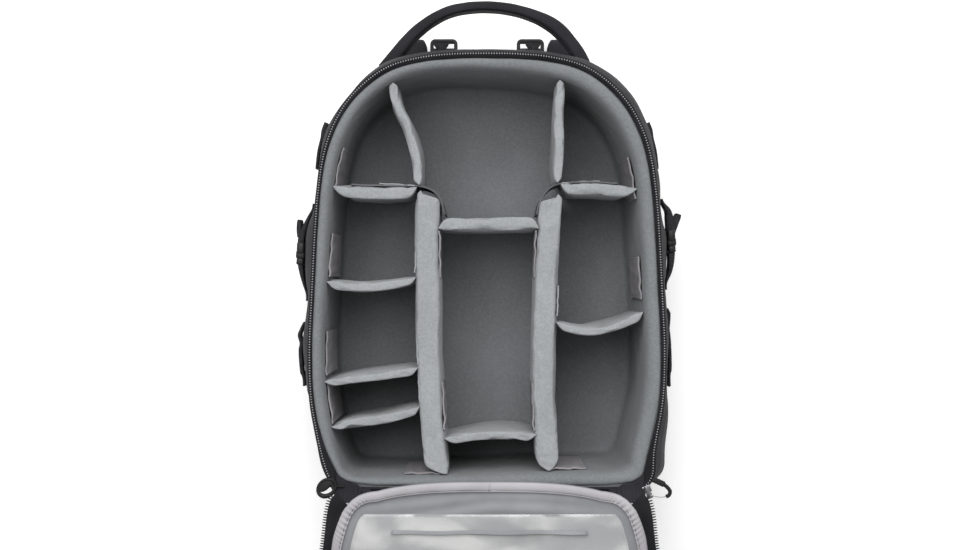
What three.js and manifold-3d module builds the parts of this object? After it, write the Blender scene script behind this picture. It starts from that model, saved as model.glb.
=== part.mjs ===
// Camera backpack lying on its harness, its front panel unzipped and folded down past the bottom edge.
// Millimetres. +X is the wearer's left seen from the front, +Y runs up to the carry handle, +Z points out
// of the open compartment. The origin is the middle of the outer box, on the surface that it lies on.
import * as THREE from "three";
import { mergeVertices } from "three/addons/utils/BufferGeometryUtils.js";
import Module from "manifold-3d";

// Main compartment
const ZIP_WIDTH = 312; // across the zip line at its widest
const ZIP_HEIGHT = 384; // hinge edge to the top of the zip line
const BODY_DEPTH = 136; // back face to zip rim
const BULGE = 12; // how far the side walls swell past the zip line
const SHELL_WALL = 2.5;
const LINER_WALL = 13;
const LINER_FLOOR = 8;
const LINER_CROWN = 2; // padded edge above the rim
const WALL_LEAN = 6; // the lining's walls come in by this much at the floor
const GAP = 0.4; // between pieces that touch
const CLEARANCE = 0.5; // round pieces that are cut to fit a neighbour

// Zip
const TAPE_WIDTH = 8;
const TAPE_THICKNESS = 1.6;
const FACING_WIDTH = 15; // the front panel's tape with its facing strip
const ZIP_START = 5; // the outline's step at which the zip starts, from the middle of the hinge edge
const SLIDER_LENGTH = 15;
const SLIDER_WIDTH = 9;
const SLIDER_HEIGHT = 6;
const PULL_LENGTH = 22;
const PULL_WIDTH = 13;
const PULL_CORD = 3.4;

// Dividers
const LONG_PAD = 19;
const SHELF_PAD = 9.5;
const THIN_PAD = 6.5;
const DIVIDER_DROP = 5; // tops below the rim
const TAB_THICKNESS = 1.8;
const TAB_LENGTH = 42;
const TAB_HEIGHT = 84;

// Front panel
const PANEL_DEPTH = 26; // outer pocket and lining together
const PANEL_INSET = 14; // lining edge inside the zip line
const PANEL_OVERLAP = 8; // lining reaches this far over the hinge edge
const PANEL_LINING = 6;
const BINDING_WIDTH = 11;
const BINDING_HEIGHT = 3.2;
const GUSSET_RISE = 5; // zip edge above the lining
const HINGE_CLEAR = 34; // outer pocket starts this far below the hinge edge
const HINGE_WIDTH = 236;
const WINDOW_THICKNESS = 0.8;
const WINDOW_START = 6; // the outline's steps between which the window reaches
const WINDOW_END = 16;
const WINDOW_HEM = 42; // hem line of the window from the hinge edge
const HEM_WIDTH = 5;
const HEM_REACH = 86;

// Harness
const STRAP_WIDTH = 52;
const STRAP_THICKNESS = 11.6;
const STRAP_APART = 164; // between the two shoulder straps at the top
const BACK_PAD_THICKNESS = 12;
const BACK_PAD_WIDTH = 82;
const BACK_PAD_LENGTH = 272;
const WEBBING = 25;
const WEBBING_THICKNESS = 1.8;
const LADDER_LOCK = 34;

// Handle and outside fittings
const HANDLE_SPAN = 186;
const HANDLE_RISE = 54;
const HANDLE_WIDTH = 28;
const HANDLE_THICKNESS = 10;
const TOP_BUCKLE_WIDTH = 26;
const TOP_BUCKLE_LENGTH = 27;
const TOP_BUCKLE_APART = 76;
const TOP_BUCKLE_OUT = 13; // the end of its webbing beyond the top of the zip line
const SIDE_BUCKLE_LENGTH = 27;
const SIDE_BUCKLE_THICKNESS = 9;
const SIDE_LOOP_WIDTH = 20;
const SIDE_LOOP_THICKNESS = 2.4;

const HALF_WIDTH = ZIP_WIDTH / 2;
const HALF_HEIGHT = ZIP_HEIGHT / 2;
const BACK_Z = STRAP_THICKNESS + BACK_PAD_THICKNESS + 2 * GAP;
const RIM_Z = BACK_Z + BODY_DEPTH;
const LINER_Z = BACK_Z + SHELL_WALL + GAP;
const FLOOR_Z = LINER_Z + LINER_FLOOR;
const RIM_INSET = LINER_WALL + SHELL_WALL + GAP;
const TAPE_Z = RIM_Z + GAP;
const AROUND = 56; // steps round the outline
const TURN_WEIGHT = 60; // a radian of turn takes as many steps as this length

const NYLON = new THREE.MeshStandardMaterial({ color: 0x232227, roughness: 0.85 });
const WEBBING_BLACK = new THREE.MeshStandardMaterial({ color: 0x1b1b1e, roughness: 0.8 });
const LINING_GREY = new THREE.MeshStandardMaterial({ color: 0x9a9ea1, roughness: 0.95 });
const TAB_GREY = new THREE.MeshStandardMaterial({ color: 0x8c8a8e, roughness: 0.9 });
const BINDING_GREY = new THREE.MeshStandardMaterial({ color: 0xaaa9ad, roughness: 0.8 });
const PLASTIC_BLACK = new THREE.MeshStandardMaterial({ color: 0x151517, roughness: 0.4 });
const CLEAR_FILM = new THREE.MeshStandardMaterial({
  color: 0xdfe3e4,
  roughness: 0.1,
  transparent: true,
  opacity: 0.4,
});

// Right half of the zip line, from the middle of the hinge edge to the top: shares of half its width and height.
const OUTLINE = [
  { across: 0, up: -1 },
  { across: 0.4, up: -1 },
  { across: 0.66, up: -0.998 },
  { across: 0.79, up: -0.98 },
  { across: 0.865, up: -0.93 },
  { across: 0.915, up: -0.855 },
  { across: 0.955, up: -0.755 },
  { across: 0.99, up: -0.583 },
  { across: 1, up: -0.365 },
  { across: 0.987, up: -0.104 },
  { across: 0.971, up: 0.156 },
  { across: 0.952, up: 0.365 },
  { across: 0.917, up: 0.547 },
  { across: 0.862, up: 0.677 },
  { across: 0.776, up: 0.792 },
  { across: 0.663, up: 0.883 },
  { across: 0.538, up: 0.945 },
  { across: 0.353, up: 0.984 },
  { across: 0.16, up: 0.998 },
  { across: 0, up: 1 },
];

// Side wall from the back face to the rim: share of the depth, and of the bulge.
const SIDE_WALL = [
  { up: 0, out: -0.95 },
  { up: 0.05, out: -0.3 },
  { up: 0.22, out: 0.6 },
  { up: 0.52, out: 1 },
  { up: 0.84, out: 0.6 },
  { up: 1, out: 0 },
];

const mirrored = OUTLINE.slice(1, -1)
  .reverse()
  .map((p) => ({ across: -p.across, up: p.up }));
const zipLine = new THREE.CatmullRomCurve3(
  [...OUTLINE, ...mirrored].map((p) => new THREE.Vector3(p.across * HALF_WIDTH, p.up * HALF_HEIGHT, 0)),
  true,
);
zipLine.arcLengthDivisions = 1200;

const wasm = await Module();
wasm.setup();

function solidOf(geometry) {
  const bare = geometry.index ? geometry.toNonIndexed() : geometry.clone();
  bare.deleteAttribute("normal");
  bare.deleteAttribute("uv");
  const merged = mergeVertices(bare, 1e-4);
  return new wasm.Manifold(
    new wasm.Mesh({
      numProp: 3,
      vertProperties: new Float32Array(merged.attributes.position.array),
      triVerts: new Uint32Array(merged.index.array),
    }),
  );
}

function geometryOf(solid) {
  const mesh = solid.getMesh();
  const geometry = new THREE.BufferGeometry();
  geometry.setAttribute("position", new THREE.BufferAttribute(mesh.vertProperties, 3));
  geometry.setIndex(new THREE.BufferAttribute(mesh.triVerts, 1));
  return geometry;
}

// Three or more rings that close on themselves, as one closed solid with a hole through it.
function closedLoft(rings) {
  const count = rings[0].length;
  const points = rings.flat();
  const faces = [];
  rings.forEach((_, r) => {
    const next = ((r + 1) % rings.length) * count;
    for (let k = 0; k < count; k++) {
      const a = r * count + k;
      const b = r * count + ((k + 1) % count);
      const c = next + ((k + 1) % count);
      faces.push([a, b, c], [a, c, next + k]);
    }
  });
  return closedMesh(points, faces);
}

// A mesh whose faces point out, whichever way round its rings were given.
function closedMesh(points, faces) {
  const volume = faces.reduce(
    (sum, [a, b, c]) => sum + points[a].dot(new THREE.Vector3().crossVectors(points[b], points[c])),
    0,
  );
  const geometry = new THREE.BufferGeometry().setFromPoints(points);
  geometry.setIndex((volume < 0 ? faces.map(([a, b, c]) => [a, c, b]) : faces).flat());
  return geometry;
}

// The largest body of a cut, so that no sliver is left beside it.
function largest(solid) {
  return solid.decompose().sort((a, b) => b.volume() - a.volume())[0];
}

// A closed solid through rings of equally many points, with a cap on the first and the last.
function loft(rings) {
  const count = rings[0].length;
  const points = rings.flat();
  const faces = [];
  for (let r = 0; r < rings.length - 1; r++)
    for (let k = 0; k < count; k++) {
      const a = r * count + k;
      const b = r * count + ((k + 1) % count);
      faces.push([a, b, b + count], [a, b + count, a + count]);
    }
  const cap = (first, flip) => {
    const middle = points.length;
    const ring = points.slice(first, first + count);
    points.push(ring.reduce((sum, p) => sum.add(p), new THREE.Vector3()).divideScalar(count));
    for (let k = 0; k < count; k++) {
      const next = first + ((k + 1) % count);
      faces.push(flip ? [next, first + k, middle] : [first + k, next, middle]);
    }
  };
  cap(0, true);
  cap((rings.length - 1) * count, false);
  return closedMesh(points, faces);
}

// Shares of the outline for its steps: closer together where it turns, and the same on both sides.
function outlineSteps() {
  const samples = 600;
  const passed = [0];
  for (let k = 1; k <= samples; k++) {
    const before = zipLine.getTangentAt((0.5 * (k - 1)) / samples);
    const after = zipLine.getTangentAt((0.5 * k) / samples);
    const length = (0.5 * zipLine.getLength()) / samples;
    passed.push(passed[k - 1] + length + TURN_WEIGHT * before.angleTo(after));
  }
  const shares = Array.from({ length: AROUND / 2 + 1 }, (_, j) => {
    const goal = (passed[samples] * j * 2) / AROUND;
    const k = Math.max(
      1,
      passed.findIndex((length) => length >= goal - 1e-9),
    );
    return (0.5 * (k - 1 + (goal - passed[k - 1]) / (passed[k] - passed[k - 1]))) / samples;
  });
  return [...shares, ...shares.slice(1, -1).reverse().map((share) => 1 - share)];
}
const STEPS = outlineSteps();

// A point of the outline moved out by a distance, by growing the whole outline.
function edgePoint(u, out) {
  const p = zipLine.getPointAt(((u % 1) + 1) % 1);
  return new THREE.Vector2(p.x * (1 + out / HALF_WIDTH), p.y * (1 + out / HALF_HEIGHT));
}

function ring(out, z) {
  return STEPS.map((u) => {
    const p = edgePoint(u, out);
    return new THREE.Vector3(p.x, p.y, z);
  });
}

function shellOut(z) {
  const up = (z - BACK_Z) / BODY_DEPTH;
  const k = Math.max(
    1,
    SIDE_WALL.findIndex((row) => row.up >= up - 1e-9),
  );
  const low = SIDE_WALL[k - 1];
  const high = SIDE_WALL[k];
  return BULGE * THREE.MathUtils.mapLinear(up, low.up, high.up, low.out, high.out);
}

const levels = SIDE_WALL.map((row) => BACK_Z + row.up * BODY_DEPTH);

function linerInset(z) {
  return RIM_INSET + (WALL_LEAN * (RIM_Z - z)) / (RIM_Z - FLOOR_Z);
}

function outerShell() {
  const inside = SHELL_WALL;
  const floor = BACK_Z + SHELL_WALL;
  return loft([
    ...levels.map((z) => ring(shellOut(z), z)),
    ...levels
      .filter((z) => z > floor)
      .reverse()
      .map((z) => ring(shellOut(z) - inside, z)),
    ring(shellOut(floor) - inside, floor),
  ]);
}

function paddedLiner() {
  const outside = SHELL_WALL + GAP;
  const edge = TAPE_WIDTH - 2;
  const shoulder = 6;
  return loft([
    ring(shellOut(LINER_Z) - outside, LINER_Z),
    ...levels.filter((z) => z > LINER_Z && z < RIM_Z).map((z) => ring(shellOut(z) - outside, z)),
    ring(-outside, RIM_Z - GAP),
    ring(-edge, RIM_Z - GAP),
    ring(-edge - 1.5, RIM_Z + LINER_CROWN * 0.8),
    ring(-(edge + RIM_INSET) / 2, RIM_Z + LINER_CROWN),
    ring(1.5 - RIM_INSET, RIM_Z + LINER_CROWN / 2),
    ring(-linerInset(RIM_Z - shoulder), RIM_Z - shoulder),
    ring(-linerInset(FLOOR_Z + shoulder), FLOOR_Z + shoulder),
    ring(-linerInset(FLOOR_Z) - 2, FLOOR_Z),
  ]);
}

// The space inside the lining, less a clearance: dividers and tabs are cut to it.
const cavity = solidOf(
  loft([
    ring(-linerInset(FLOOR_Z) - 2 - CLEARANCE, FLOOR_Z + GAP),
    ring(-linerInset(FLOOR_Z + 6) - CLEARANCE, FLOOR_Z + 6),
    ring(-linerInset(RIM_Z - 6) - CLEARANCE, RIM_Z - 6),
    ring(-RIM_INSET - CLEARANCE, RIM_Z + 1),
  ]),
);

// A section swept along stations {at, side, up}: each point of the section is [along side, along up].
function sweep(stations, section) {
  return loft(
    stations.map((s, k) =>
      section(k / (stations.length - 1)).map(([a, b]) => s.at.clone().addScaledVector(s.side, a).addScaledVector(s.up, b)),
    ),
  );
}

function roundedSection(width, thick) {
  const w = width / 2;
  const t = thick / 2;
  const c = Math.min(w, t) * 0.7;
  return [
    [-w + c, -t],
    [w - c, -t],
    [w, -t + c],
    [w, t - c],
    [w - c, t],
    [-w + c, t],
    [-w, t - c],
    [-w, -t + c],
  ];
}

// Stations along a curve, with the section's width kept near a given direction.
function stationsOn(points, steps, widthAlong) {
  const curve = new THREE.CatmullRomCurve3(points);
  return Array.from({ length: steps + 1 }, (_, k) => {
    const at = curve.getPointAt(k / steps);
    const tangent = curve.getTangentAt(k / steps);
    const side = widthAlong.clone().addScaledVector(tangent, -widthAlong.dot(tangent)).normalize();
    return { at, side, up: new THREE.Vector3().crossVectors(tangent, side) };
  });
}

function band(points, steps, widthAlong, width, thick) {
  return sweep(stationsOn(points, steps, widthAlong), (s) =>
    roundedSection(typeof width === "function" ? width(s) : width, typeof thick === "function" ? thick(s) : thick),
  );
}

// A strip along the zip: corners(u) gives the corners of its section at a share of the outline.
function zipStrip(corners) {
  return loft(STEPS.slice(ZIP_START, AROUND - ZIP_START + 1).map(corners));
}

// A strip of the lining's wall between two shares of the outline, each corner of its section an [out, up].
function wallStrip(from, to, steps, section) {
  return loft(
    Array.from({ length: steps + 1 }, (_, k) =>
      section.map(([out, up]) => {
        const p = edgePoint(from + ((to - from) * k) / steps, out);
        return new THREE.Vector3(p.x, p.y, up);
      }),
    ),
  );
}

function bodyZipTape() {
  const inner = 2.5 - TAPE_WIDTH;
  const top = TAPE_Z + TAPE_THICKNESS;
  const section = [
    [2.5, TAPE_Z],
    [inner, TAPE_Z],
    [inner, top - 0.4],
    [(inner + 2.5) / 2, top + 0.8],
    [2.5, top - 0.4],
  ];
  return zipStrip((u) =>
    section.map(([out, z]) => {
      const p = edgePoint(u, out);
      return new THREE.Vector3(p.x, p.y, z);
    }),
  );
}

// Dividers stand on the floor of the lining: plan points are shares of half the zip line's width and height.
const planPoint = ([across, up]) => new THREE.Vector3(across * HALF_WIDTH, up * HALF_HEIGHT, 0);
const DIVIDER_TOP = RIM_Z - DIVIDER_DROP;
const PINCH = 0.5; // a shelf's ends are sewn down to this share of its thickness

function uprightPad(plan, thick, { grow = 0, pinch = 1, steps = 8, sag = 0, drop = 0 } = {}) {
  const curve = new THREE.CatmullRomCurve3(plan.map(planPoint));
  const stations = Array.from({ length: steps + 1 }, (_, k) => {
    const tangent = curve.getTangentAt(k / steps);
    const past = k === 0 ? -grow : k === steps ? grow : 0;
    return {
      at: curve.getPointAt(k / steps).addScaledVector(tangent, past),
      side: new THREE.Vector3(tangent.y, -tangent.x, 0).normalize(),
      up: new THREE.Vector3(0, 0, 1),
    };
  });
  return solidOf(
    sweep(stations, (s) => {
      const end = Math.min(s, 1 - s) * steps;
      const t = (thick / 2) * (end < 0.5 ? pinch : 1) + grow;
      const top = DIVIDER_TOP - drop - sag * Math.sin(Math.PI * s) + grow;
      const round = Math.min(thick * 0.4, 5);
      const bottom = FLOOR_Z + GAP;
      return [
        [-t, bottom],
        [t, bottom],
        [t, top - round],
        [t * 0.72, top - round * 0.3],
        [0, top],
        [-t * 0.72, top - round * 0.3],
        [-t, top - round],
      ];
    }),
  );
}

const LONG_LEFT = [
  [-0.336, 0.375],
  [-0.339, 0.1],
  [-0.334, -0.267],
  [-0.321, -0.59],
  [-0.27, -1],
];
const LONG_RIGHT = [
  [0.366, 0.36],
  [0.344, 0.1],
  [0.33, -0.22],
  [0.327, -0.59],
  [0.352, -1],
];
const UPPER_LEFT = [
  [-0.525, 1],
  [-0.53, 0.83],
  [-0.505, 0.755],
  [-0.46, 0.688],
  [-0.428, 0.615],
  [-0.398, 0.51],
  [-0.391, 0.4],
];
const UPPER_RIGHT = [
  [0.4, 1],
  [0.417, 0.83],
  [0.41, 0.7],
  [0.408, 0.6],
  [0.404, 0.47],
  [0.408, 0.395],
];

// Shelves: name, plan points from one end to the other, pad thickness, and what they stop against.
const SHELVES = [
  { name: "left_shelf_1", plan: [[-1, 0.385], [-0.84, 0.372], [-0.6, 0.366], [-0.34, 0.37]], thick: SHELF_PAD },
  { name: "left_shelf_2", plan: [[-1, -0.02], [-0.74, -0.066], [-0.5, -0.05], [-0.34, -0.03]], thick: THIN_PAD },
  { name: "left_shelf_3", plan: [[-1, -0.535], [-0.75, -0.49], [-0.5, -0.465], [-0.33, -0.45]], thick: THIN_PAD },
  { name: "left_shelf_4", plan: [[-1, -0.77], [-0.8, -0.705], [-0.55, -0.672], [-0.32, -0.62]], thick: THIN_PAD },
  { name: "centre_shelf_1", plan: [[-0.34, 0.222], [0, 0.218], [0.35, 0.222]], thick: SHELF_PAD },
  { name: "centre_shelf_2", plan: [[-0.3, -0.79], [0, -0.748], [0.2, -0.752], [0.35, -0.775]], thick: THIN_PAD },
  { name: "right_shelf_1", plan: [[0.36, 0.385], [0.6, 0.382], [0.8, 0.366], [1, 0.35]], thick: SHELF_PAD },
  { name: "right_shelf_2", plan: [[0.33, -0.235], [0.55, -0.27], [0.72, -0.248], [1, -0.16]], thick: THIN_PAD },
];

const longLeft = uprightPad(LONG_LEFT, LONG_PAD);
const longRight = uprightPad(LONG_RIGHT, LONG_PAD * 0.95);
const aroundLongs = [
  uprightPad(LONG_LEFT, LONG_PAD, { grow: CLEARANCE }),
  uprightPad(LONG_RIGHT, LONG_PAD * 0.95, { grow: CLEARANCE }),
];
const clearOf = (solid, others) => others.reduce((left, other) => left.subtract(other), solid);
const inCavity = (solid) => largest(solid.intersect(cavity));

function dividers() {
  const made = {
    long_divider_left: inCavity(longLeft),
    long_divider_right: inCavity(longRight),
  };
  const aroundShelves = [];
  for (const shelf of SHELVES) {
    const options = { pinch: PINCH, steps: 7, sag: 2 };
    made[shelf.name] = inCavity(clearOf(uprightPad(shelf.plan, shelf.thick, options), aroundLongs));
    aroundShelves.push(uprightPad(shelf.plan, shelf.thick, { ...options, grow: CLEARANCE }));
  }
  for (const [name, plan] of [
    ["upper_divider_left", UPPER_LEFT],
    ["upper_divider_right", UPPER_RIGHT],
  ])
    made[name] = inCavity(clearOf(uprightPad(plan, THIN_PAD, { steps: 10 }), [...aroundLongs, ...aroundShelves]));
  return { made, around: [...aroundLongs, ...aroundShelves] };
}

// Hook tabs of the shelves on the lining's wall: outline shares from the shelf, and the share of TAB_LENGTH.
const OUTLINE_LENGTH = zipLine.getLength();

// The outline share at which the zip line passes a height, on the right (side 1) or the left (side -1).
function shareAt(up, side) {
  let low = 0;
  let high = 0.5;
  for (let k = 0; k < 40; k++) {
    const middle = (low + high) / 2;
    if (zipLine.getPointAt(middle).y < up * HALF_HEIGHT) low = middle;
    else high = middle;
  }
  return side > 0 ? low : 1 - low;
}

function wallTab(up, side, direction, away) {
  const start = shareAt(up, side) + (side * direction * away) / OUTLINE_LENGTH;
  const end = start + (side * direction * TAB_LENGTH) / OUTLINE_LENGTH;
  const low = DIVIDER_TOP - TAB_HEIGHT;
  const skin = (z, depth) => -linerInset(z) - CLEARANCE * 0.8 - depth;
  return solidOf(
    wallStrip(start, end, 3, [
      [skin(low, 0), low],
      [skin(low, TAB_THICKNESS), low],
      [skin(DIVIDER_TOP - 4, TAB_THICKNESS), DIVIDER_TOP - 4],
      [skin(DIVIDER_TOP - 4, 0), DIVIDER_TOP - 4],
    ]),
  );
}

// A tab that lies along the face of a divider, from one plan point to another.
function faceTab(plan, offset) {
  const curve = new THREE.CatmullRomCurve3(plan.map(planPoint));
  const stations = Array.from({ length: 5 }, (_, k) => {
    const tangent = curve.getTangentAt(k / 4);
    const side = new THREE.Vector3(tangent.y, -tangent.x, 0).normalize();
    return { at: curve.getPointAt(k / 4).addScaledVector(side, offset), side, up: new THREE.Vector3(0, 0, 1) };
  });
  const t = TAB_THICKNESS / 2;
  const low = DIVIDER_TOP - TAB_HEIGHT;
  const high = DIVIDER_TOP - 4;
  return solidOf(
    sweep(stations, () => [
      [-t, low],
      [t, low],
      [t, high],
      [-t, high],
    ]),
  );
}

const TAB_REACH = TAB_LENGTH / HALF_HEIGHT;
const LONG_SEAT = LONG_PAD / 2 + CLEARANCE + TAB_THICKNESS / 2 + 0.1;

function tabs(around) {
  const wall = [
    ["tab_left_shelf_1", wallTab(0.385, -1, 1, 6)],
    ["tab_left_shelf_2", wallTab(-0.02, -1, 1, 6)],
    ["tab_left_shelf_3", wallTab(-0.535, -1, 1, 6)],
    ["tab_left_shelf_4", wallTab(-0.77, -1, 1, 6)],
    ["tab_right_shelf_1", wallTab(0.35, 1, 1, 6)],
    ["tab_right_shelf_2", wallTab(-0.16, 1, 1, 6)],
  ];
  const face = [
    ["tab_centre_shelf_1_left", [[-0.339, 0.19], [-0.337, 0.19 - TAB_REACH]], -LONG_SEAT],
    ["tab_centre_shelf_1_right", [[0.347, 0.19], [0.338, 0.19 - TAB_REACH]], LONG_SEAT],
    ["tab_centre_shelf_2_left", [[-0.309, -0.73], [-0.323, -0.73 + TAB_REACH]], LONG_SEAT],
    ["tab_centre_shelf_2_right", [[0.336, -0.73], [0.328, -0.73 + TAB_REACH]], -LONG_SEAT],
  ].map(([name, plan, offset]) => [name, faceTab(plan, offset)]);
  return Object.fromEntries([...wall, ...face].map(([name, solid]) => [name, inCavity(clearOf(solid, around))]));
}

// The front panel is drawn flat, v from the hinge edge and h up from its lining, and bent along this line
// from the rim to the floor. Its reach is set so that the line is as long as the panel.
const HINGE_Z = RIM_Z + LINER_CROWN + GAP + PANEL_LINING;
function panelLine() {
  let reach = ZIP_HEIGHT;
  let line;
  for (let k = 0; k < 8; k++) {
    const end = -HALF_HEIGHT - reach;
    line = new THREE.CubicBezierCurve3(
      new THREE.Vector3(0, -HALF_HEIGHT, HINGE_Z),
      new THREE.Vector3(0, -HALF_HEIGHT - reach * 0.36, HINGE_Z - BODY_DEPTH * 0.12),
      new THREE.Vector3(0, end + reach * 0.4, PANEL_DEPTH),
      new THREE.Vector3(0, end, PANEL_DEPTH),
    );
    line.arcLengthDivisions = 400;
    reach *= ZIP_HEIGHT / line.getLength();
  }
  return line;
}
const panelCurve = panelLine();

function onPanel(x, v, h) {
  const s = THREE.MathUtils.clamp(v / ZIP_HEIGHT, 0, 1);
  const at = panelCurve.getPointAt(s);
  const along = panelCurve.getTangentAt(s);
  const beyond = v - s * ZIP_HEIGHT;
  return new THREE.Vector3(
    x,
    at.y + along.y * beyond + along.z * h,
    at.z + along.z * beyond - along.y * h,
  );
}

// The lining's outline on the panel: the zip line drawn in at the sides and the far end, and between the
// corners of the hinge edge drawn out past that edge.
const PANEL_CORNER = 114;
function liningPoint(u, inset) {
  const p = edgePoint(u, 0);
  const x = p.x * (1 - (PANEL_INSET + inset) / HALF_WIDTH);
  if (p.y > 0) return new THREE.Vector2(x, HALF_HEIGHT + p.y * (1 - (PANEL_INSET + inset) / HALF_HEIGHT));
  const past = PANEL_OVERLAP * Math.max(0, 1 - Math.abs(x / PANEL_CORNER) ** 3);
  return new THREE.Vector2(x, HALF_HEIGHT + p.y * (1 - inset / HALF_HEIGHT) - past);
}

// A slab under the panel's curve, in rungs from side to side: edge(u) gives the right edge of each rung.
function slab(from, to, edge, low, high) {
  return loft(
    STEPS.slice(from, to + 1).map((u) => {
      const p = edge(u);
      const across = [-1, -0.33, 0.33, 1];
      return [
        ...across.map((x) => onPanel(x * p.x, p.y, low)),
        ...across.reverse().map((x) => onPanel(x * p.x, p.y, high)),
      ];
    }),
  );
}

function frontPanelShell() {
  const wall = SHELL_WALL;
  const edge = (out, h, clear) =>
    STEPS.map((u) => {
      const p = edgePoint(u, out);
      const v = p.y + HALF_HEIGHT;
      const under = v < HINGE_CLEAR ? Math.min(h, -PANEL_LINING) : h;
      return onPanel(p.x, Math.max(v, HINGE_CLEAR + clear), under);
    });
  const tray = loft([
    edge(-16, -PANEL_DEPTH, 8),
    edge(-9, -PANEL_DEPTH + 2, 3),
    edge(-4, -PANEL_DEPTH + 9, 0),
    edge(-2, -3, 0),
    edge(0, GUSSET_RISE, 0),
    edge(-wall, GUSSET_RISE, wall),
    edge(-3 - wall, -3, wall + 1),
    edge(-5 - wall, -PANEL_DEPTH + 9, wall + 1),
    edge(-10 - wall, -PANEL_DEPTH + 2 + wall, wall + 3),
    edge(-17 - wall, -PANEL_DEPTH + wall + 0.4, wall + 9),
  ]);
  const last = AROUND / 2 - 1;
  const over = slab(1, last, (u) => liningPoint(u, -CLEARANCE), -PANEL_LINING - CLEARANCE, 3 * GUSSET_RISE);
  return geometryOf(largest(solidOf(tray).subtract(solidOf(over))));
}

function frontPanelLining() {
  return slab(1, AROUND / 2 - 1, (u) => liningPoint(u, 0), -PANEL_LINING, 0);
}

// A closed ring along the lining's edge: each corner of its section is [inset, h].
function panelBinding() {
  const section = [
    [0, GAP],
    [BINDING_WIDTH, GAP],
    [BINDING_WIDTH * 0.9, GAP + BINDING_HEIGHT * 0.7],
    [BINDING_WIDTH * 0.5, GAP + BINDING_HEIGHT],
    [BINDING_WIDTH * 0.1, GAP + BINDING_HEIGHT * 0.7],
  ];
  const rings = STEPS.map((u) =>
    section.map(([inset, h]) => {
      const p = liningPoint(u, inset);
      return onPanel(p.x, p.y, h);
    }),
  );
  return closedLoft(rings);
}

function panelZipTape() {
  const rise = GUSSET_RISE + GAP;
  return zipStrip((u) => {
    const outer = edgePoint(u, 2.5);
    const middle = edgePoint(u, 2.5 - TAPE_WIDTH * 0.8);
    const inner = liningPoint(u, -1.2);
    const place = (p, h) => onPanel(p.x, p.y + HALF_HEIGHT, h);
    return [
      place(outer, rise),
      place(middle, rise),
      onPanel(inner.x, inner.y, GAP + 0.2),
      onPanel(inner.x, inner.y, GAP + 0.2 + TAPE_THICKNESS),
      place(middle, rise + TAPE_THICKNESS),
      place(outer, rise + TAPE_THICKNESS),
    ];
  });
}

function panelWindow() {
  const inset = BINDING_WIDTH + 5;
  return slab(WINDOW_START, WINDOW_END, (u) => liningPoint(u, inset), GAP, GAP + WINDOW_THICKNESS);
}

function windowHem() {
  const low = 2 * GAP + WINDOW_THICKNESS;
  const near = WINDOW_HEM - HEM_WIDTH / 2;
  return loft(
    [-1, -0.5, 0, 0.5, 1].map((s) =>
      [
        [near, low],
        [near + HEM_WIDTH, low],
        [near + HEM_WIDTH * 0.8, low + 1],
        [near + HEM_WIDTH * 0.2, low + 1],
      ].map(([v, h]) => onPanel(s * HEM_REACH, v, h)),
    ),
  );
}

// The fabric that carries the panel: from the shell's rim, under the lining, down to the outer pocket's wall.
function hingeFabric() {
  const half = HINGE_WIDTH / 2;
  const under = -PANEL_LINING - GAP - 1;
  const points = [
    new THREE.Vector3(0, -HALF_HEIGHT + SHELL_WALL / 2, TAPE_Z + 0.6),
    onPanel(0, 6, under),
    onPanel(0, HINGE_CLEAR * 0.5, under),
    onPanel(0, HINGE_CLEAR - GAP * 2 - 0.4, under - 0.4),
  ];
  return sweep(stationsOn(points, 6, new THREE.Vector3(1, 0, 0)), () => [
    [-half, -0.6],
    [half, -0.6],
    [half, 0.6],
    [-half, 0.6],
  ]);
}

// A pad with rounded edges: its plan is a rounded rectangle.
function softBlock(x, y, width, length, low, thick, corner) {
  const plan = (inset, z) => {
    const shape = new THREE.Shape();
    const w = width / 2 - inset;
    const l = length / 2 - inset;
    const r = Math.max(corner - inset, 1);
    shape.moveTo(x - w + r, y - l);
    shape.lineTo(x + w - r, y - l);
    shape.absarc(x + w - r, y - l + r, r, -Math.PI / 2, 0, false);
    shape.absarc(x + w - r, y + l - r, r, 0, Math.PI / 2, false);
    shape.absarc(x - w + r, y + l - r, r, Math.PI / 2, Math.PI, false);
    shape.absarc(x - w + r, y - l + r, r, Math.PI, (3 * Math.PI) / 2, false);
    return shape.extractPoints(3).shape.map((p) => new THREE.Vector3(p.x, p.y, z));
  };
  const round = Math.min(thick * 0.35, 4);
  return loft([
    plan(round, low),
    plan(0, low + round),
    plan(0, low + thick - round),
    plan(round, low + thick),
  ]);
}

const BACK_PAD_APART = 152;
const BACK_PAD_Y = -12;

function backPad(side) {
  return softBlock(
    (side * BACK_PAD_APART) / 2,
    BACK_PAD_Y,
    BACK_PAD_WIDTH,
    BACK_PAD_LENGTH,
    STRAP_THICKNESS + GAP,
    BACK_PAD_THICKNESS,
    20,
  );
}

// A shoulder strap: sewn to the back at the top, folded over past the top edge, and lying flat under the bag.
const STRAP_Z = STRAP_THICKNESS / 2;
const STRAP_ROOT_Z = BACK_Z - GAP - STRAP_THICKNESS / 2;
const STRAP_END_Y = -132;
const FOLD_Y = HALF_HEIGHT + BULGE + 6;

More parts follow.
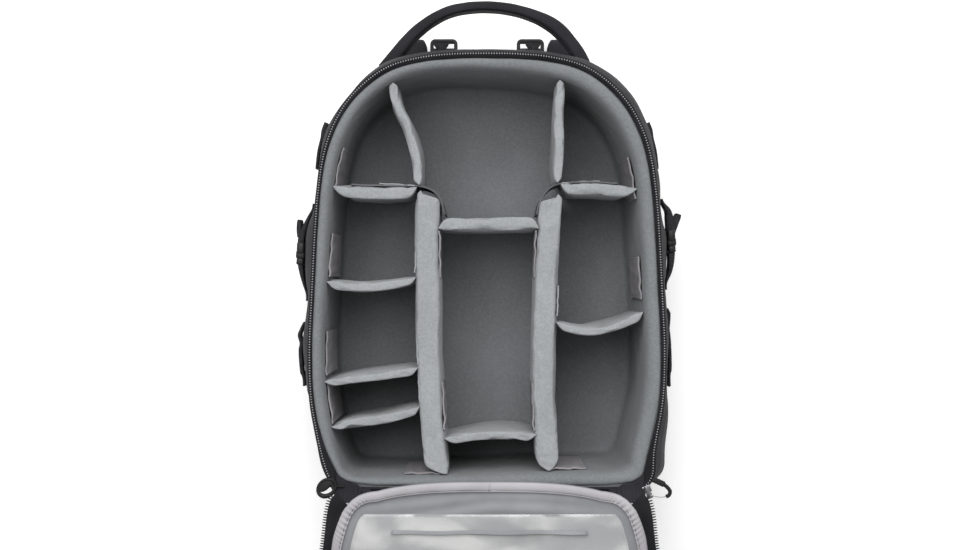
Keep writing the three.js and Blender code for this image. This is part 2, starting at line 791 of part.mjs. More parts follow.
function shoulderStrap(side) {
  const x = (side * STRAP_APART) / 2;
  const out = side * 16;
  const radius = (STRAP_ROOT_Z - STRAP_Z) / 2;
  const middle = (STRAP_ROOT_Z + STRAP_Z) / 2;
  const root = [HALF_HEIGHT * 0.78, HALF_HEIGHT * 0.92, FOLD_Y - 1].map((y) => [x, y, STRAP_ROOT_Z]);
  const fold = [60, 30, 0, -30, -60].map((deg) => {
    const a = THREE.MathUtils.degToRad(deg);
    return [x, FOLD_Y + radius * Math.cos(a), middle + radius * Math.sin(a)];
  });
  const lower = [
    [x, FOLD_Y - 1, STRAP_Z],
    [x, HALF_HEIGHT * 0.88, STRAP_Z],
    [x + out * 0.6, HALF_HEIGHT * 0.6, STRAP_Z],
    [x + out, HALF_HEIGHT * 0.25, STRAP_Z],
    [x + out * 0.8, -HALF_HEIGHT * 0.15, STRAP_Z],
    [x, -HALF_HEIGHT * 0.45, STRAP_Z],
    [x - out * 0.3, STRAP_END_Y, STRAP_Z],
  ];
  const points = [...root, ...fold, ...lower].map((p) => new THREE.Vector3(...p));
  const across = new THREE.Vector3(1, 0, 0);
  const stations = points.map((at, k) => {
    const before = points[Math.max(k - 1, 0)];
    const after = points[Math.min(k + 1, points.length - 1)];
    const tangent = after.clone().sub(before).normalize();
    const side_ = across.clone().addScaledVector(tangent, -tangent.x).normalize();
    return { at, side: side_, up: new THREE.Vector3().crossVectors(tangent, side_) };
  });
  const narrow = (s) => STRAP_WIDTH * (s > 0.9 ? 0.72 : 1);
  return sweep(stations, (s) => roundedSection(narrow(s), STRAP_THICKNESS));
}

const LADDER_Y = STRAP_END_Y - LADDER_LOCK / 2 - 3;
const STRAP_END_X = STRAP_APART / 2 - 16 * 0.3;

// Lower webbing: from the strap's end through the ladder lock to the bottom corner of the back.
function lowerWebbing(side) {
  const t = WEBBING_THICKNESS / 2;
  const z = STRAP_THICKNESS * 0.5;
  const points = [
    [side * STRAP_END_X, STRAP_END_Y - 4.5, z],
    [side * (STRAP_END_X + 3), LADDER_Y, z],
    [side * (STRAP_END_X + 9), LADDER_Y - LADDER_LOCK * 0.62, z + 2],
    [side * (STRAP_END_X + 14), -HALF_HEIGHT + 4, BACK_Z - GAP - t - 4],
    [side * (STRAP_END_X + 13), -HALF_HEIGHT + 16, BACK_Z - GAP - t - 0.6],
  ].map((p) => new THREE.Vector3(...p));
  return band(points, 8, new THREE.Vector3(1, 0, 0), WEBBING, WEBBING_THICKNESS);
}

function frame(width, length, bar, thick) {
  const shape = new THREE.Shape();
  const w = width / 2;
  const l = length / 2;
  shape.moveTo(-w, -l);
  shape.lineTo(w, -l);
  shape.lineTo(w, l);
  shape.lineTo(-w, l);
  const slot = (low, high) => {
    const hole = new THREE.Path();
    hole.moveTo(-w + bar, low);
    hole.lineTo(-w + bar, high);
    hole.lineTo(w - bar, high);
    hole.lineTo(w - bar, low);
    shape.holes.push(hole);
  };
  slot(-l + bar, -bar / 2);
  slot(bar / 2, l - bar);
  return new THREE.ExtrudeGeometry(shape, { depth: thick, bevelEnabled: false });
}

// The webbing passes through the lock's open slots, so the lock is two side rails and bars round it.
function ladderLock(side) {
  const thick = 3;
  const plate = frame(WEBBING + 9, LADDER_LOCK * 0.7, 4, thick);
  plate.translate(0, 0, STRAP_THICKNESS * 0.5 - WEBBING_THICKNESS / 2 - GAP - thick);
  plate.rotateZ(side * 0.16);
  plate.translate(side * (STRAP_END_X + 3), LADDER_Y, 0);
  return plate;
}

// The load-lifter buckles at the top of the back, their webbing going in under the shell.
function topBuckle(side) {
  const thick = 4;
  const plate = frame(TOP_BUCKLE_WIDTH, TOP_BUCKLE_LENGTH, 4.5, thick);
  plate.translate(
    (side * TOP_BUCKLE_APART) / 2,
    HALF_HEIGHT + TOP_BUCKLE_OUT - TOP_BUCKLE_LENGTH / 4,
    BACK_Z - GAP - WEBBING_THICKNESS - GAP - thick,
  );
  return plate;
}

function topWebbing(side) {
  const z = BACK_Z - GAP - WEBBING_THICKNESS / 2;
  const points = [HALF_HEIGHT * 0.8, HALF_HEIGHT * 0.92, HALF_HEIGHT + TOP_BUCKLE_OUT].map(
    (y) => new THREE.Vector3((side * TOP_BUCKLE_APART) / 2, y, z),
  );
  return band(points, 3, new THREE.Vector3(1, 0, 0), TOP_BUCKLE_WIDTH - 11, WEBBING_THICKNESS);
}

// Carry handle: a padded strap bent into a bow, its feet on the shell's top wall.
const HANDLE_Z = BACK_Z + BODY_DEPTH * 0.42;
function handle() {
  const half = HANDLE_SPAN / 2;
  const top = HALF_HEIGHT + shellOut(HANDLE_Z) + HANDLE_RISE;
  const foot = edgeHeight(half) + GAP + 6;
  const rise = top - HANDLE_THICKNESS / 2 - foot;
  const points = [
    [-1, 0],
    [-0.94, 0.3],
    [-0.76, 0.63],
    [-0.45, 0.9],
    [0, 1],
    [0.45, 0.9],
    [0.76, 0.63],
    [0.94, 0.3],
    [1, 0],
  ].map(([x, y]) => new THREE.Vector3(x * half, foot + y * rise, HANDLE_Z));
  return band(
    points,
    18,
    new THREE.Vector3(0, 0, 1),
    HANDLE_WIDTH,
    (s) => HANDLE_THICKNESS * (1 + 0.5 * Math.abs(2 * s - 1) ** 3),
  );
}

// How high the shell's outer wall stands at a distance across, at the handle's level.
function edgeHeight(across) {
  const out = shellOut(HANDLE_Z);
  let low = 0.25;
  let high = 0.5;
  for (let k = 0; k < 30; k++) {
    const middle = (low + high) / 2;
    if (edgePoint(middle, out).x > across) low = middle;
    else high = middle;
  }
  return edgePoint(low, out).y;
}

// Things on the side walls are placed by height along the side and distance off the wall.
const SIDE_Z = BACK_Z + BODY_DEPTH * 0.55;
function offSide(up, off, side) {
  const u = shareAt(up, 1);
  const p = edgePoint(u, shellOut(SIDE_Z) + off);
  return new THREE.Vector3(side * p.x, p.y, SIDE_Z);
}

const SIDE_STRAP = [
  { up: 0.345, off: 1.4 },
  { up: 0.3, off: 3.2 },
  { up: 0.235, off: 6.6 },
  { up: 0.16, off: 7.2 },
  { up: 0.08, off: 6.8 },
  { up: 0.02, off: 5.6 },
  { up: -0.03, off: 3.2 },
  { up: -0.075, off: 1.4 },
];
const SIDE_TAIL = [
  { up: 0.185, off: 7.6 },
  { up: 0.22, off: 10.6 },
  { up: 0.262, off: 15.4 },
];

// A compression strap: webbing from wall to wall of the side, bowed out under its buckle, with a free tail.
function sideStrap(side) {
  const upright = new THREE.Vector3(0, 0, 1);
  const path = (rows) => rows.map((row) => offSide(row.up, row.off, side));
  const main = solidOf(band(path(SIDE_STRAP), 14, upright, WEBBING, WEBBING_THICKNESS));
  const tail = solidOf(band(path(SIDE_TAIL), 4, upright, WEBBING * 0.92, WEBBING_THICKNESS * 1.6));
  return { main, tail };
}

function sideBuckle(side) {
  const at = offSide(0.115, 7.2, side);
  const low = offSide(0.08, 7.2, side);
  const turn = Math.atan2(at.x - low.x, at.y - low.y);
  const shape = new THREE.Shape();
  const l = SIDE_BUCKLE_LENGTH / 2;
  const t = SIDE_BUCKLE_THICKNESS / 2;
  shape.moveTo(-t, -l);
  shape.lineTo(t * 0.5, -l);
  shape.lineTo(t, -l + 3);
  shape.lineTo(t, l - 2);
  shape.lineTo(t * 0.6, l);
  shape.lineTo(-t, l);
  const depth = WEBBING + 8;
  const geometry = new THREE.ExtrudeGeometry(shape, { depth, bevelEnabled: false });
  if (side < 0) geometry.rotateY(Math.PI).translate(0, 0, depth);
  geometry.translate(side * t * 0.1, 0, -depth / 2);
  geometry.rotateZ(-turn);
  geometry.translate(at.x, at.y, at.z);
  return solidOf(geometry);
}

function sideFittings(side) {
  const { main, tail } = sideStrap(side);
  const grown = solidOf(
    band(
      SIDE_STRAP.map((row) => offSide(row.up, row.off, side)),
      14,
      new THREE.Vector3(0, 0, 1),
      WEBBING + 2 * CLEARANCE,
      WEBBING_THICKNESS + 2 * CLEARANCE,
    ),
  );
  const buckle = largest(sideBuckle(side).subtract(grown).subtract(solidOf(shellSleeve())));
  return { strap: largest(main), tail: largest(tail.subtract(grown).subtract(buckleSleeve(side))), buckle };
}

// The shell with a clearance round it, for what lies against its side.
function shellSleeve() {
  return loft(levels.map((z) => ring(shellOut(z) + CLEARANCE, z)));
}

function buckleSleeve(side) {
  const buckle = sideBuckle(side);
  return buckle;
}

// The short padded tab beside the top corner, and the ladder of webbing loops by the bottom corner.
function sideTab(side) {
  const rows = [0.68, 0.6, 0.52, 0.45].map((up, k) => offSide(up, [1.6, 3.6, 3.8, 1.6][k], side));
  return band(rows, 6, new THREE.Vector3(0, 0, 1), SIDE_LOOP_WIDTH + 6, 2.4);
}

function sideLoops(side) {
  const offs = [1.6, 5.4, 5.6, 3.6, 6.2, 6.2, 3.4, 5.6, 5.4, 1.6];
  const rows = offs.map((off, k) => offSide(-0.25 - (k * 0.32) / (offs.length - 1), off, side));
  return band(rows, 12, new THREE.Vector3(0, 0, 1), SIDE_LOOP_WIDTH, SIDE_LOOP_THICKNESS);
}

// Slider and pull at each end of the zip.
function sliderPlace(side) {
  const u = STEPS[ZIP_START] + 0.004;
  const p = edgePoint(u, 2.5 - TAPE_WIDTH / 2);
  const q = edgePoint(u + 0.004, 2.5 - TAPE_WIDTH / 2);
  return { x: side * p.x, y: p.y, turn: Math.atan2(side * (q.x - p.x), q.y - p.y) };
}

const SLIDER_Z = TAPE_Z + TAPE_THICKNESS + 0.8 + GAP;
function slider(side) {
  const shape = new THREE.Shape();
  const w = SLIDER_WIDTH / 2;
  const l = SLIDER_LENGTH / 2;
  shape.moveTo(-w * 0.55, -l);
  shape.lineTo(w * 0.55, -l);
  shape.lineTo(w, l * 0.2);
  shape.lineTo(w, l);
  shape.lineTo(-w, l);
  shape.lineTo(-w, l * 0.2);
  const geometry = new THREE.ExtrudeGeometry(shape, { depth: SLIDER_HEIGHT * 0.6, bevelEnabled: false });
  const place = sliderPlace(side);
  geometry.rotateZ(-place.turn);
  geometry.translate(place.x, place.y + SLIDER_LENGTH * 0.4, SLIDER_Z);
  return geometry;
}

function pull(side) {
  const ringShape = new THREE.TorusGeometry(1, PULL_CORD / PULL_LENGTH, 6, 16);
  const across = (PULL_LENGTH - PULL_CORD) / 2;
  const along = (PULL_WIDTH - PULL_CORD) / 2;
  const position = ringShape.attributes.position;
  for (let k = 0; k < position.count; k++) {
    const x = position.getX(k);
    const y = position.getY(k);
    const z = position.getZ(k);
    const r = Math.hypot(x, y);
    const angle = Math.atan2(y, x);
    const off = (r - 1) * across;
    position.setXYZ(
      k,
      (across + off) * Math.cos(angle),
      (along + off) * Math.sin(angle),
      (z * PULL_LENGTH) / 2,
    );
  }
  ringShape.rotateZ(-side * 0.35);
  const place = sliderPlace(side);
  ringShape.translate(
    place.x + side * (PULL_LENGTH / 2 + SLIDER_WIDTH / 2 + 3.4),
    place.y + SLIDER_LENGTH * 0.2,
    SLIDER_Z + SLIDER_HEIGHT * 0.3,
  );
  return ringShape;
}

const pack = new THREE.Group();
function add(name, geometry, material) {
  const flat = geometry.index ? geometry.toNonIndexed() : geometry;
  flat.computeVertexNormals();
  const mesh = new THREE.Mesh(flat, material);
  mesh.name = name;
  pack.add(mesh);
}

add("outer_shell", outerShell(), NYLON);
add("padded_liner", paddedLiner(), LINING_GREY);
add("body_zip_tape", bodyZipTape(), WEBBING_BLACK);
const { made, around } = dividers();
for (const [name, solid] of Object.entries(made)) add(name, geometryOf(solid), LINING_GREY);
const upperSleeves = [UPPER_LEFT, UPPER_RIGHT].map((plan) => uprightPad(plan, THIN_PAD, { steps: 10, grow: CLEARANCE }));
for (const [name, solid] of Object.entries(tabs([...around, ...upperSleeves]))) add(name, geometryOf(solid), TAB_GREY);
add("panel_shell", frontPanelShell(), NYLON);
add("panel_lining", frontPanelLining(), LINING_GREY);
add("panel_binding", panelBinding(), BINDING_GREY);
add("panel_zip_tape", panelZipTape(), WEBBING_BLACK);
add("panel_window", panelWindow(), CLEAR_FILM);
add("window_hem", windowHem(), BINDING_GREY);
add("hinge_fabric", hingeFabric(), NYLON);
add("handle", handle(), NYLON);
for (const [word, side] of [
  ["left", -1],
  ["right", 1],
]) {
  add(`back_pad_${word}`, backPad(side), NYLON);
  add(`shoulder_strap_${word}`, shoulderStrap(side), NYLON);
  add(`lower_webbing_${word}`, lowerWebbing(side), WEBBING_BLACK);
  add(`ladder_lock_${word}`, ladderLock(side), PLASTIC_BLACK);
  add(`top_buckle_${word}`, topBuckle(side), PLASTIC_BLACK);
  add(`top_webbing_${word}`, topWebbing(side), WEBBING_BLACK);
  const { strap, tail, buckle } = sideFittings(side);
  add(`side_strap_${word}`, geometryOf(strap), WEBBING_BLACK);
  add(`side_tail_${word}`, geometryOf(tail), WEBBING_BLACK);
  add(`side_buckle_${word}`, geometryOf(buckle), PLASTIC_BLACK);
  add(`side_tab_${word}`, sideTab(side), WEBBING_BLACK);
  add(`side_loops_${word}`, sideLoops(side), WEBBING_BLACK);
  add(`slider_${word}`, slider(side), PLASTIC_BLACK);
  add(`pull_${word}`, pull(side), PLASTIC_BLACK);
}

// The origin goes under the middle of the outer box.
const box = new THREE.Box3().setFromObject(pack);
pack.position.set(-(box.min.x + box.max.x) / 2, -(box.min.y + box.max.y) / 2, -box.min.z);
const backpack = new THREE.Group();
backpack.add(pack);

export default backpack;
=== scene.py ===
"""Looks of a camera backpack that lies on its harness, open, with its front panel folded down past the bottom edge.

Lengths are in metres. MM turns a size in millimetres into metres. Pieces are drawn in the frame's own axes:
+Y runs up the bag towards the carry handle and +Z out of the open compartment.
"""

import math

import bmesh
import bpy
import numpy as np
from mathutils import Euler, Matrix, Vector


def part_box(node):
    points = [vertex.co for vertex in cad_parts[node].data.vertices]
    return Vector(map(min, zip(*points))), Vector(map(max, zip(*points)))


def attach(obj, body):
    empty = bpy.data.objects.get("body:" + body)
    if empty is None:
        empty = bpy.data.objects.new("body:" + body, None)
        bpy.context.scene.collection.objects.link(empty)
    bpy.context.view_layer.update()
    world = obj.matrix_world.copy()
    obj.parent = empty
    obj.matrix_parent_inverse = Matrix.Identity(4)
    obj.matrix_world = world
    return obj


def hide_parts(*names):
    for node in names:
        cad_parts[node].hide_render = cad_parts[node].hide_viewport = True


MM = 0.001
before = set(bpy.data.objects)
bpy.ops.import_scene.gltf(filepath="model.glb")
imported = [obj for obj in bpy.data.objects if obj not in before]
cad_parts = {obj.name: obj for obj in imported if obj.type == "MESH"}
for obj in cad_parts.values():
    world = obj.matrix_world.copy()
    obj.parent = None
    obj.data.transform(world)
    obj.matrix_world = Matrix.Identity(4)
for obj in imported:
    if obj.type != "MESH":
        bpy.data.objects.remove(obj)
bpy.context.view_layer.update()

# Sizes that the CAD pieces give
shell_low, shell_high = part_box("outer_shell")
tape_low, tape_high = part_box("body_zip_tape")
CENTRE = np.array([(shell_low.x + shell_high.x) / 2, (shell_low.y + shell_high.y) / 2])
BACK_Z, RIM_Z = shell_low.z, shell_high.z
BODY_DEPTH = RIM_Z - BACK_Z
BULGE = 12 * MM
HALF_WIDTH = (shell_high.x - shell_low.x) / 2 - BULGE
HALF_HEIGHT = (shell_high.y - shell_low.y) / 2 - BULGE
PANEL_LENGTH = 2 * HALF_HEIGHT

# Sizes of the soft parts
SHELL_WALL = 2.5 * MM
LINER_RIM = 15.9 * MM
LINER_LEAN = 6 * MM
LINER_FLOOR = 8 * MM
FLOOR_Z = BACK_Z + SHELL_WALL + 0.4 * MM + LINER_FLOOR
TAPE_WIDTH = 8 * MM
TOOTH_PITCH = 2.3 * MM
DIVIDER_DROP = 5 * MM
LONG_PAD = 19 * MM
SHELF_PAD = 9.5 * MM
THIN_PAD = 6.5 * MM
TAB_LENGTH = 42 * MM
TAB_HEIGHT = 84 * MM
PANEL_DEPTH = 26 * MM
PANEL_LINING = 6 * MM
PANEL_INSET = 8 * MM
PANEL_OVERLAP = 8 * MM
PANEL_CORNER = 98 * MM
HINGE_CLEAR = 34 * MM
BINDING_WIDTH = 11 * MM
GUSSET_RISE = 5 * MM
CORNER_PULL = 6 * MM
PANEL_ASIDE = 2.2 * MM

# Right half of the zip line, from the middle of the hinge edge to the top: shares of half its width and height.
OUTLINE = [
    (0, -1), (0.45, -1), (0.7, -0.999), (0.815, -0.993), (0.865, -0.97), (0.893, -0.93), (0.917, -0.875),
    (0.937, -0.815), (0.957, -0.74),
    (0.99, -0.583), (1, -0.365), (0.987, -0.104), (0.971, 0.156), (0.952, 0.365), (0.917, 0.547),
    (0.862, 0.677), (0.776, 0.792), (0.663, 0.883), (0.538, 0.945), (0.353, 0.984), (0.16, 0.998), (0, 1),
]
# Side wall from the back face to the rim: share of the depth, share of the bulge.
SIDE_WALL = [(0, -0.95), (0.05, -0.3), (0.22, 0.6), (0.52, 1), (0.84, 0.6), (1, 0)]


# Curves and fields


def spline(points, count, closed=False):
    """Evenly spaced points on a smooth curve through the given ones."""
    p = np.asarray(points, float)
    if closed:
        p = np.vstack([p[-1], p, p[0], p[1]])
    else:
        p = np.vstack([2 * p[0] - p[1], p, 2 * p[-1] - p[-2]])
    runs = []
    for a, b, c, d in zip(p[:-3], p[1:-2], p[2:-1], p[3:]):
        t0 = 0.0
        t1 = t0 + max(np.linalg.norm(b - a), 1e-9) ** 0.5
        t2 = t1 + max(np.linalg.norm(c - b), 1e-9) ** 0.5
        t3 = t2 + max(np.linalg.norm(d - c), 1e-9) ** 0.5
        t = np.linspace(t1, t2, 60, endpoint=False)[:, None]
        ab = (t1 - t) / (t1 - t0) * a + (t - t0) / (t1 - t0) * b
        bc = (t2 - t) / (t2 - t1) * b + (t - t1) / (t2 - t1) * c
        cd = (t3 - t) / (t3 - t2) * c + (t - t2) / (t3 - t2) * d
        abc = (t2 - t) / (t2 - t0) * ab + (t - t0) / (t2 - t0) * bc
        bcd = (t3 - t) / (t3 - t1) * bc + (t - t1) / (t3 - t1) * cd
        runs.append((t2 - t) / (t2 - t1) * abc + (t - t1) / (t2 - t1) * bcd)
    dense = np.vstack(runs + [p[-2][None]])
    length = np.r_[0, np.cumsum(np.linalg.norm(np.diff(dense, axis=0), axis=1))]
    goal = np.linspace(0, length[-1], count + 1 if closed else count)
    if closed:
        goal = goal[:-1]
    return np.stack([np.interp(goal, length, dense[:, k]) for k in range(dense.shape[1])], 1)


left_half = [(-x, y) for x, y in OUTLINE[-2:0:-1]]
ZIP_LINE = spline([(x * HALF_WIDTH, y * HALF_HEIGHT) for x, y in OUTLINE + left_half], 4000, closed=True)
OUTLINE_LENGTH = np.linalg.norm(np.diff(np.vstack([ZIP_LINE, ZIP_LINE[:1]]), axis=0), axis=1).sum()


def edge_point(u, out):
    """Points of the outline at shares u of its length, the whole outline grown by a distance."""
    u, out = np.broadcast_arrays(np.mod(u, 1.0), out)
    k = u * len(ZIP_LINE)
    low = np.floor(k).astype(int) % len(ZIP_LINE)
    part = (k - np.floor(k))[..., None]
    p = ZIP_LINE[low] * (1 - part) + ZIP_LINE[(low + 1) % len(ZIP_LINE)] * part
    return np.stack([p[..., 0] * (1 + out / HALF_WIDTH), p[..., 1] * (1 + out / HALF_HEIGHT)], -1)


def share_at(up, side):
    """The outline's share at which it passes a height, on the right (side 1) or the left (side -1)."""
    half = ZIP_LINE[: len(ZIP_LINE) // 2 + 1]
    share = np.interp(up * HALF_HEIGHT, half[:, 1], np.arange(len(half)) / len(ZIP_LINE))
    return share if side > 0 else 1 - share


def in_body(xy, z):
    """Plan points about the middle of the body, and heights, as points of the frame. The right end of the hinge
    edge is pulled out by CORNER_PULL."""
    z = np.broadcast_to(z, xy.shape[:-1])
    near = np.exp(-(((xy[..., 1] / HALF_HEIGHT + 0.95) / 0.09) ** 2))
    right = smooth_step((xy[..., 0] / HALF_WIDTH - 0.5) / 0.3)
    x = xy[..., 0] + CORNER_PULL * near * right + CENTRE[0]
    return np.stack([x, xy[..., 1] + CENTRE[1], z], -1)


def shell_out(z):
    up = (np.asarray(z) - BACK_Z) / BODY_DEPTH
    rows = np.array(SIDE_WALL)
    dense = spline(rows * [1, 0.5], 200)
    return BULGE * np.interp(up, dense[:, 0], dense[:, 1] * 2)


# How far the walls bulge at the middle of their depth, by share of half the height, in millimetres
LEFT_BULGE = [
    (-1, 6), (-0.9, 8), (-0.75, 7), (-0.6, 5.5), (-0.53, 8), (-0.45, 9.5), (-0.3, 11), (-0.22, 9), (-0.15, 7.4),
    (-0.1, 7.8), (-0.04, 11.2), (0.03, 13.6), (0.15, 14.4), (0.19, 13.4), (0.24, 10.4), (0.285, 7), (0.34, 6.3),
    (0.42, 6.4), (0.5, 7.6), (0.6, 8.6), (0.68, 8.8), (0.78, 8.2), (0.9, 9.2), (1, 10),
]
RIGHT_BULGE = [
    (-1, 6), (-0.95, 8), (-0.87, 12), (-0.78, 13), (-0.67, 12.3), (-0.6, 10.5), (-0.54, 8.4), (-0.4, 7.8),
    (-0.28, 7.8), (-0.13, 7.6), (-0.05, 7.4), (0, 10.4), (0.1, 12), (0.17, 11.8), (0.22, 9.6), (0.3, 8.6), (0.4, 9.4), (0.5, 9.8),
    (0.6, 10), (0.68, 11), (0.78, 13), (0.9, 13), (1, 10),
]


def bulge_share(u):
    """The wall's bulge at shares of the outline, as a share of the full one."""
    p = edge_point(u, 0)
    to_right = smooth_step(0.5 + 0.6 * p[..., 0] / HALF_WIDTH)
    bulges = []
    for rows in (LEFT_BULGE, RIGHT_BULGE):
        dense = spline(np.array(rows) * [60, 1], 400)
        bulges.append(np.interp(p[..., 1] / HALF_HEIGHT, dense[:, 0] / 60, dense[:, 1]) * MM / BULGE)
    return bulges[0] * (1 - to_right) + bulges[1] * to_right


def wall_out(z, u):
    """How far the outside of the wall stands off the zip line at a height and at shares of the outline."""
    full = shell_out(z)
    return full * np.where(full > 0, bulge_share(u), 1)


# Distance of the lining's edge inside the zip line, by share of the outline, in millimetres
RIM_GAP = [
    (0, 2.6), (0.085, 4.4), (0.1, 6.2), (0.118, 5.8), (0.135, 3.6), (0.155, 2.6), (0.25, 3.2), (0.36, 3.4), (0.5, 3.7),
    (0.6, 3), (0.66, 1.7), (0.845, 1.7), (0.865, 3.6), (0.882, 5.8), (0.9, 6.2), (0.915, 4.4), (1, 2.6),
]


def rim_gap(u):
    rows = np.array(RIM_GAP)
    return np.interp(np.mod(u, 1), rows[:, 0], rows[:, 1]) * MM


def liner_inset(z, u):
    """Distance of the compartment's wall inside the zip line: the lining is thinner on the left."""
    thinner = 4.4 * MM * smooth_step(0.5 - edge_point(u, 0)[..., 0] / HALF_WIDTH)
    return LINER_RIM - thinner + LINER_LEAN * (RIM_Z - z) / (RIM_Z - FLOOR_Z)


def ripple(points, wavelength, seed, waves=7):
    """Smooth unevenness between about -1 and 1, the same on every run."""
    rng = np.random.default_rng(seed)
    total = np.zeros(points.shape[:-1])
    for _ in range(waves):
        way = rng.normal(size=points.shape[-1])
        way /= np.linalg.norm(way)
        total += np.sin(points @ way * (2 * math.pi / (wavelength * rng.uniform(0.7, 1.5))) + rng.uniform(0, 6.3))
    return total / math.sqrt(waves) / 1.4


def smooth_step(x):
    x = np.clip(x, 0, 1)
    return x * x * (3 - 2 * x)


# Meshes


def new_piece(name, points, faces, uv=None):
    mesh = bpy.data.meshes.new(name)
    mesh.from_pydata(np.asarray(points).reshape(-1, 3).tolist(), [], faces)
    mesh.validate()
    if uv is not None:
        layer = mesh.uv_layers.new(name="Cloth")
        index = np.zeros(len(mesh.loops), int)
        mesh.loops.foreach_get("vertex_index", index)
        layer.data.foreach_set("uv", np.asarray(uv, float)[index].ravel())
    piece = bpy.data.objects.new(name, mesh)
    bpy.context.collection.objects.link(piece)
    return piece


def face_out(piece):
    """Turns the faces out where the piece was drawn inside out, and smooths them."""
    edit = bmesh.new()
    edit.from_mesh(piece.data)
    if edit.calc_volume(signed=True) < 0:
        bmesh.ops.reverse_faces(edit, faces=edit.faces)
    edit.to_mesh(piece.data)
    edit.free()
    piece.data.shade_smooth()
    return piece


def grid_faces(rows, cols, wrap_rows, wrap_cols):
    r = np.arange(rows if wrap_rows else rows - 1)[:, None]
    c = np.arange(cols if wrap_cols else cols - 1)[None]
    a = r * cols + c
    b = r * cols + (c + 1) % cols
    d = ((r + 1) % rows) * cols + c
    e = ((r + 1) % rows) * cols + (c + 1) % cols
    return np.stack([a, b, e, d], -1).reshape(-1, 4).tolist()


def skin(name, grid, wrap_rows=False, wrap_cols=True, caps=True):
    """A mesh over a grid of points, rows by columns. Its UV map counts metres along and across."""
    rows, cols = grid.shape[:2]
    points = grid.reshape(-1, 3)
    along = np.r_[0, np.cumsum(np.linalg.norm(np.diff(grid.mean(1), axis=0), axis=1))]
    across = np.r_[0, np.cumsum(np.linalg.norm(np.diff(grid.mean(0), axis=0), axis=1))]
    uv = np.stack(np.meshgrid(along, across, indexing="ij"), -1).reshape(-1, 2)
    faces = grid_faces(rows, cols, wrap_rows, wrap_cols)
    if caps and wrap_cols and not wrap_rows:
        for first, turn in ((0, -1), ((rows - 1) * cols, 1)):
            middle = len(points)
            points = np.vstack([points, points[first : first + cols].mean(0)])
            uv = np.vstack([uv, uv[first : first + cols].mean(0)])
            for k in range(cols):
                edge = (first + k, first + (k + 1) % cols)
                faces.append([*edge[::turn], middle][::-1] if turn > 0 else [*edge, middle][::-1])
    piece = new_piece(name, points, faces, uv)
    edit = bmesh.new()
    edit.from_mesh(piece.data)
    bmesh.ops.recalc_face_normals(edit, faces=edit.faces)
    edit.to_mesh(piece.data)
    edit.free()
    return face_out(piece)


def rounded(width, thick, corner, per_corner=5, straight=3):
    """A rounded rectangle as (across, up) offsets, counted from its middle."""
    w, t, c = width / 2, thick / 2, min(corner, width / 2 - 1e-5, thick / 2 - 1e-5)
    points = []
    for x, y, start in ((w - c, t - c, 0), (-w + c, t - c, 90), (-w + c, -t + c, 180), (w - c, -t + c, 270)):
        for k in range(per_corner):
            a = math.radians(start + 90 * k / (per_corner - 1))
            points.append((x + c * math.cos(a), y + c * math.sin(a)))
    points.append(points[0])
    dense = []
    for a, b in zip(points[:-1], points[1:]):
        long = math.dist(a, b) > 2.5 * c * math.pi / 2 / (per_corner - 1)
        for k in range(straight if long else 1):
            part = k / (straight if long else 1)
            dense.append((a[0] + (b[0] - a[0]) * part, a[1] + (b[1] - a[1]) * part))
    return np.array(dense)


def frames_on(path, width_way, closed=False):
    """Unit vectors along, across (kept near width_way) and up for each point of a path."""
    along = np.roll(path, -1, 0) - np.roll(path, 1, 0) if closed else np.gradient(path, axis=0)
    along /= np.linalg.norm(along, axis=1, keepdims=True)
    way = np.broadcast_to(np.asarray(width_way, float), along.shape)
    across = way - (way * along).sum(1, keepdims=True) * along
    across /= np.linalg.norm(across, axis=1, keepdims=True)
    return along, across, np.cross(along, across)


def sweep(name, path, width_way, section, scale=None, closed=False):
    """A section swept along a path; scale gives each station's (across, up) factors."""
    path = np.asarray(path, float)
    _, across, up = frames_on(path, width_way, closed)
    scale = np.ones((len(path), 2)) if scale is None else scale
    offsets = section[None] * scale[:, None]
    grid = path[:, None] + across[:, None] * offsets[..., :1] + up[:, None] * offsets[..., 1:]
    return skin(name, grid, wrap_rows=closed)


def block(name, size, at, turn=(0, 0, 0), bevel=0.8 * MM):
    """A moulded block with rounded edges, one of the solids that a fitting is joined from."""
    edit = bmesh.new()
    bmesh.ops.create_cube(edit, size=1)
    bmesh.ops.scale(edit, vec=size, verts=edit.verts)
    bmesh.ops.bevel(edit, geom=edit.edges, offset=bevel, segments=3, affect="EDGES", profile=0.5)
    bmesh.ops.transform(edit, matrix=Matrix.LocRotScale(Vector(at), Euler(turn), None), verts=edit.verts)
    mesh = bpy.data.meshes.new(name)
    edit.to_mesh(mesh)
    edit.free()
    mesh.shade_smooth()
    piece = bpy.data.objects.new(name, mesh)
    bpy.context.collection.objects.link(piece)
    return piece


def move(piece, at, turn=0.0):
    """Turns a fitting about the upright and puts it in place, in its mesh."""
    piece.data.transform(Matrix.Translation(Vector(at)) @ Matrix.Rotation(turn, 4, "Z"))
    return piece


def join(name, pieces):
    """Several meshes as one piece."""
    with bpy.context.temp_override(active_object=pieces[0], selected_editable_objects=pieces):
        bpy.ops.object.join()
    pieces[0].name = name
    return pieces[0]


def finish_piece(piece, material, nodes=()):
    """Gives a piece its finish and its place in the frame."""
    piece.data.materials.clear()
    piece.data.materials.append(material)
    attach(piece, "root")
    if nodes:
        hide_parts(*nodes)
    return piece


# Finishes


def node_group(name, inputs, outputs):
    group = bpy.data.node_groups.new(name, "ShaderNodeTree")
    for label, kind, value in inputs:
        socket = group.interface.new_socket(label, in_out="INPUT", socket_type=kind)
        if value is not None:
            socket.default_value = value
    for label, kind in outputs:
        group.interface.new_socket(label, in_out="OUTPUT", socket_type=kind)
    return group, group.nodes.new("NodeGroupInput"), group.nodes.new("NodeGroupOutput")


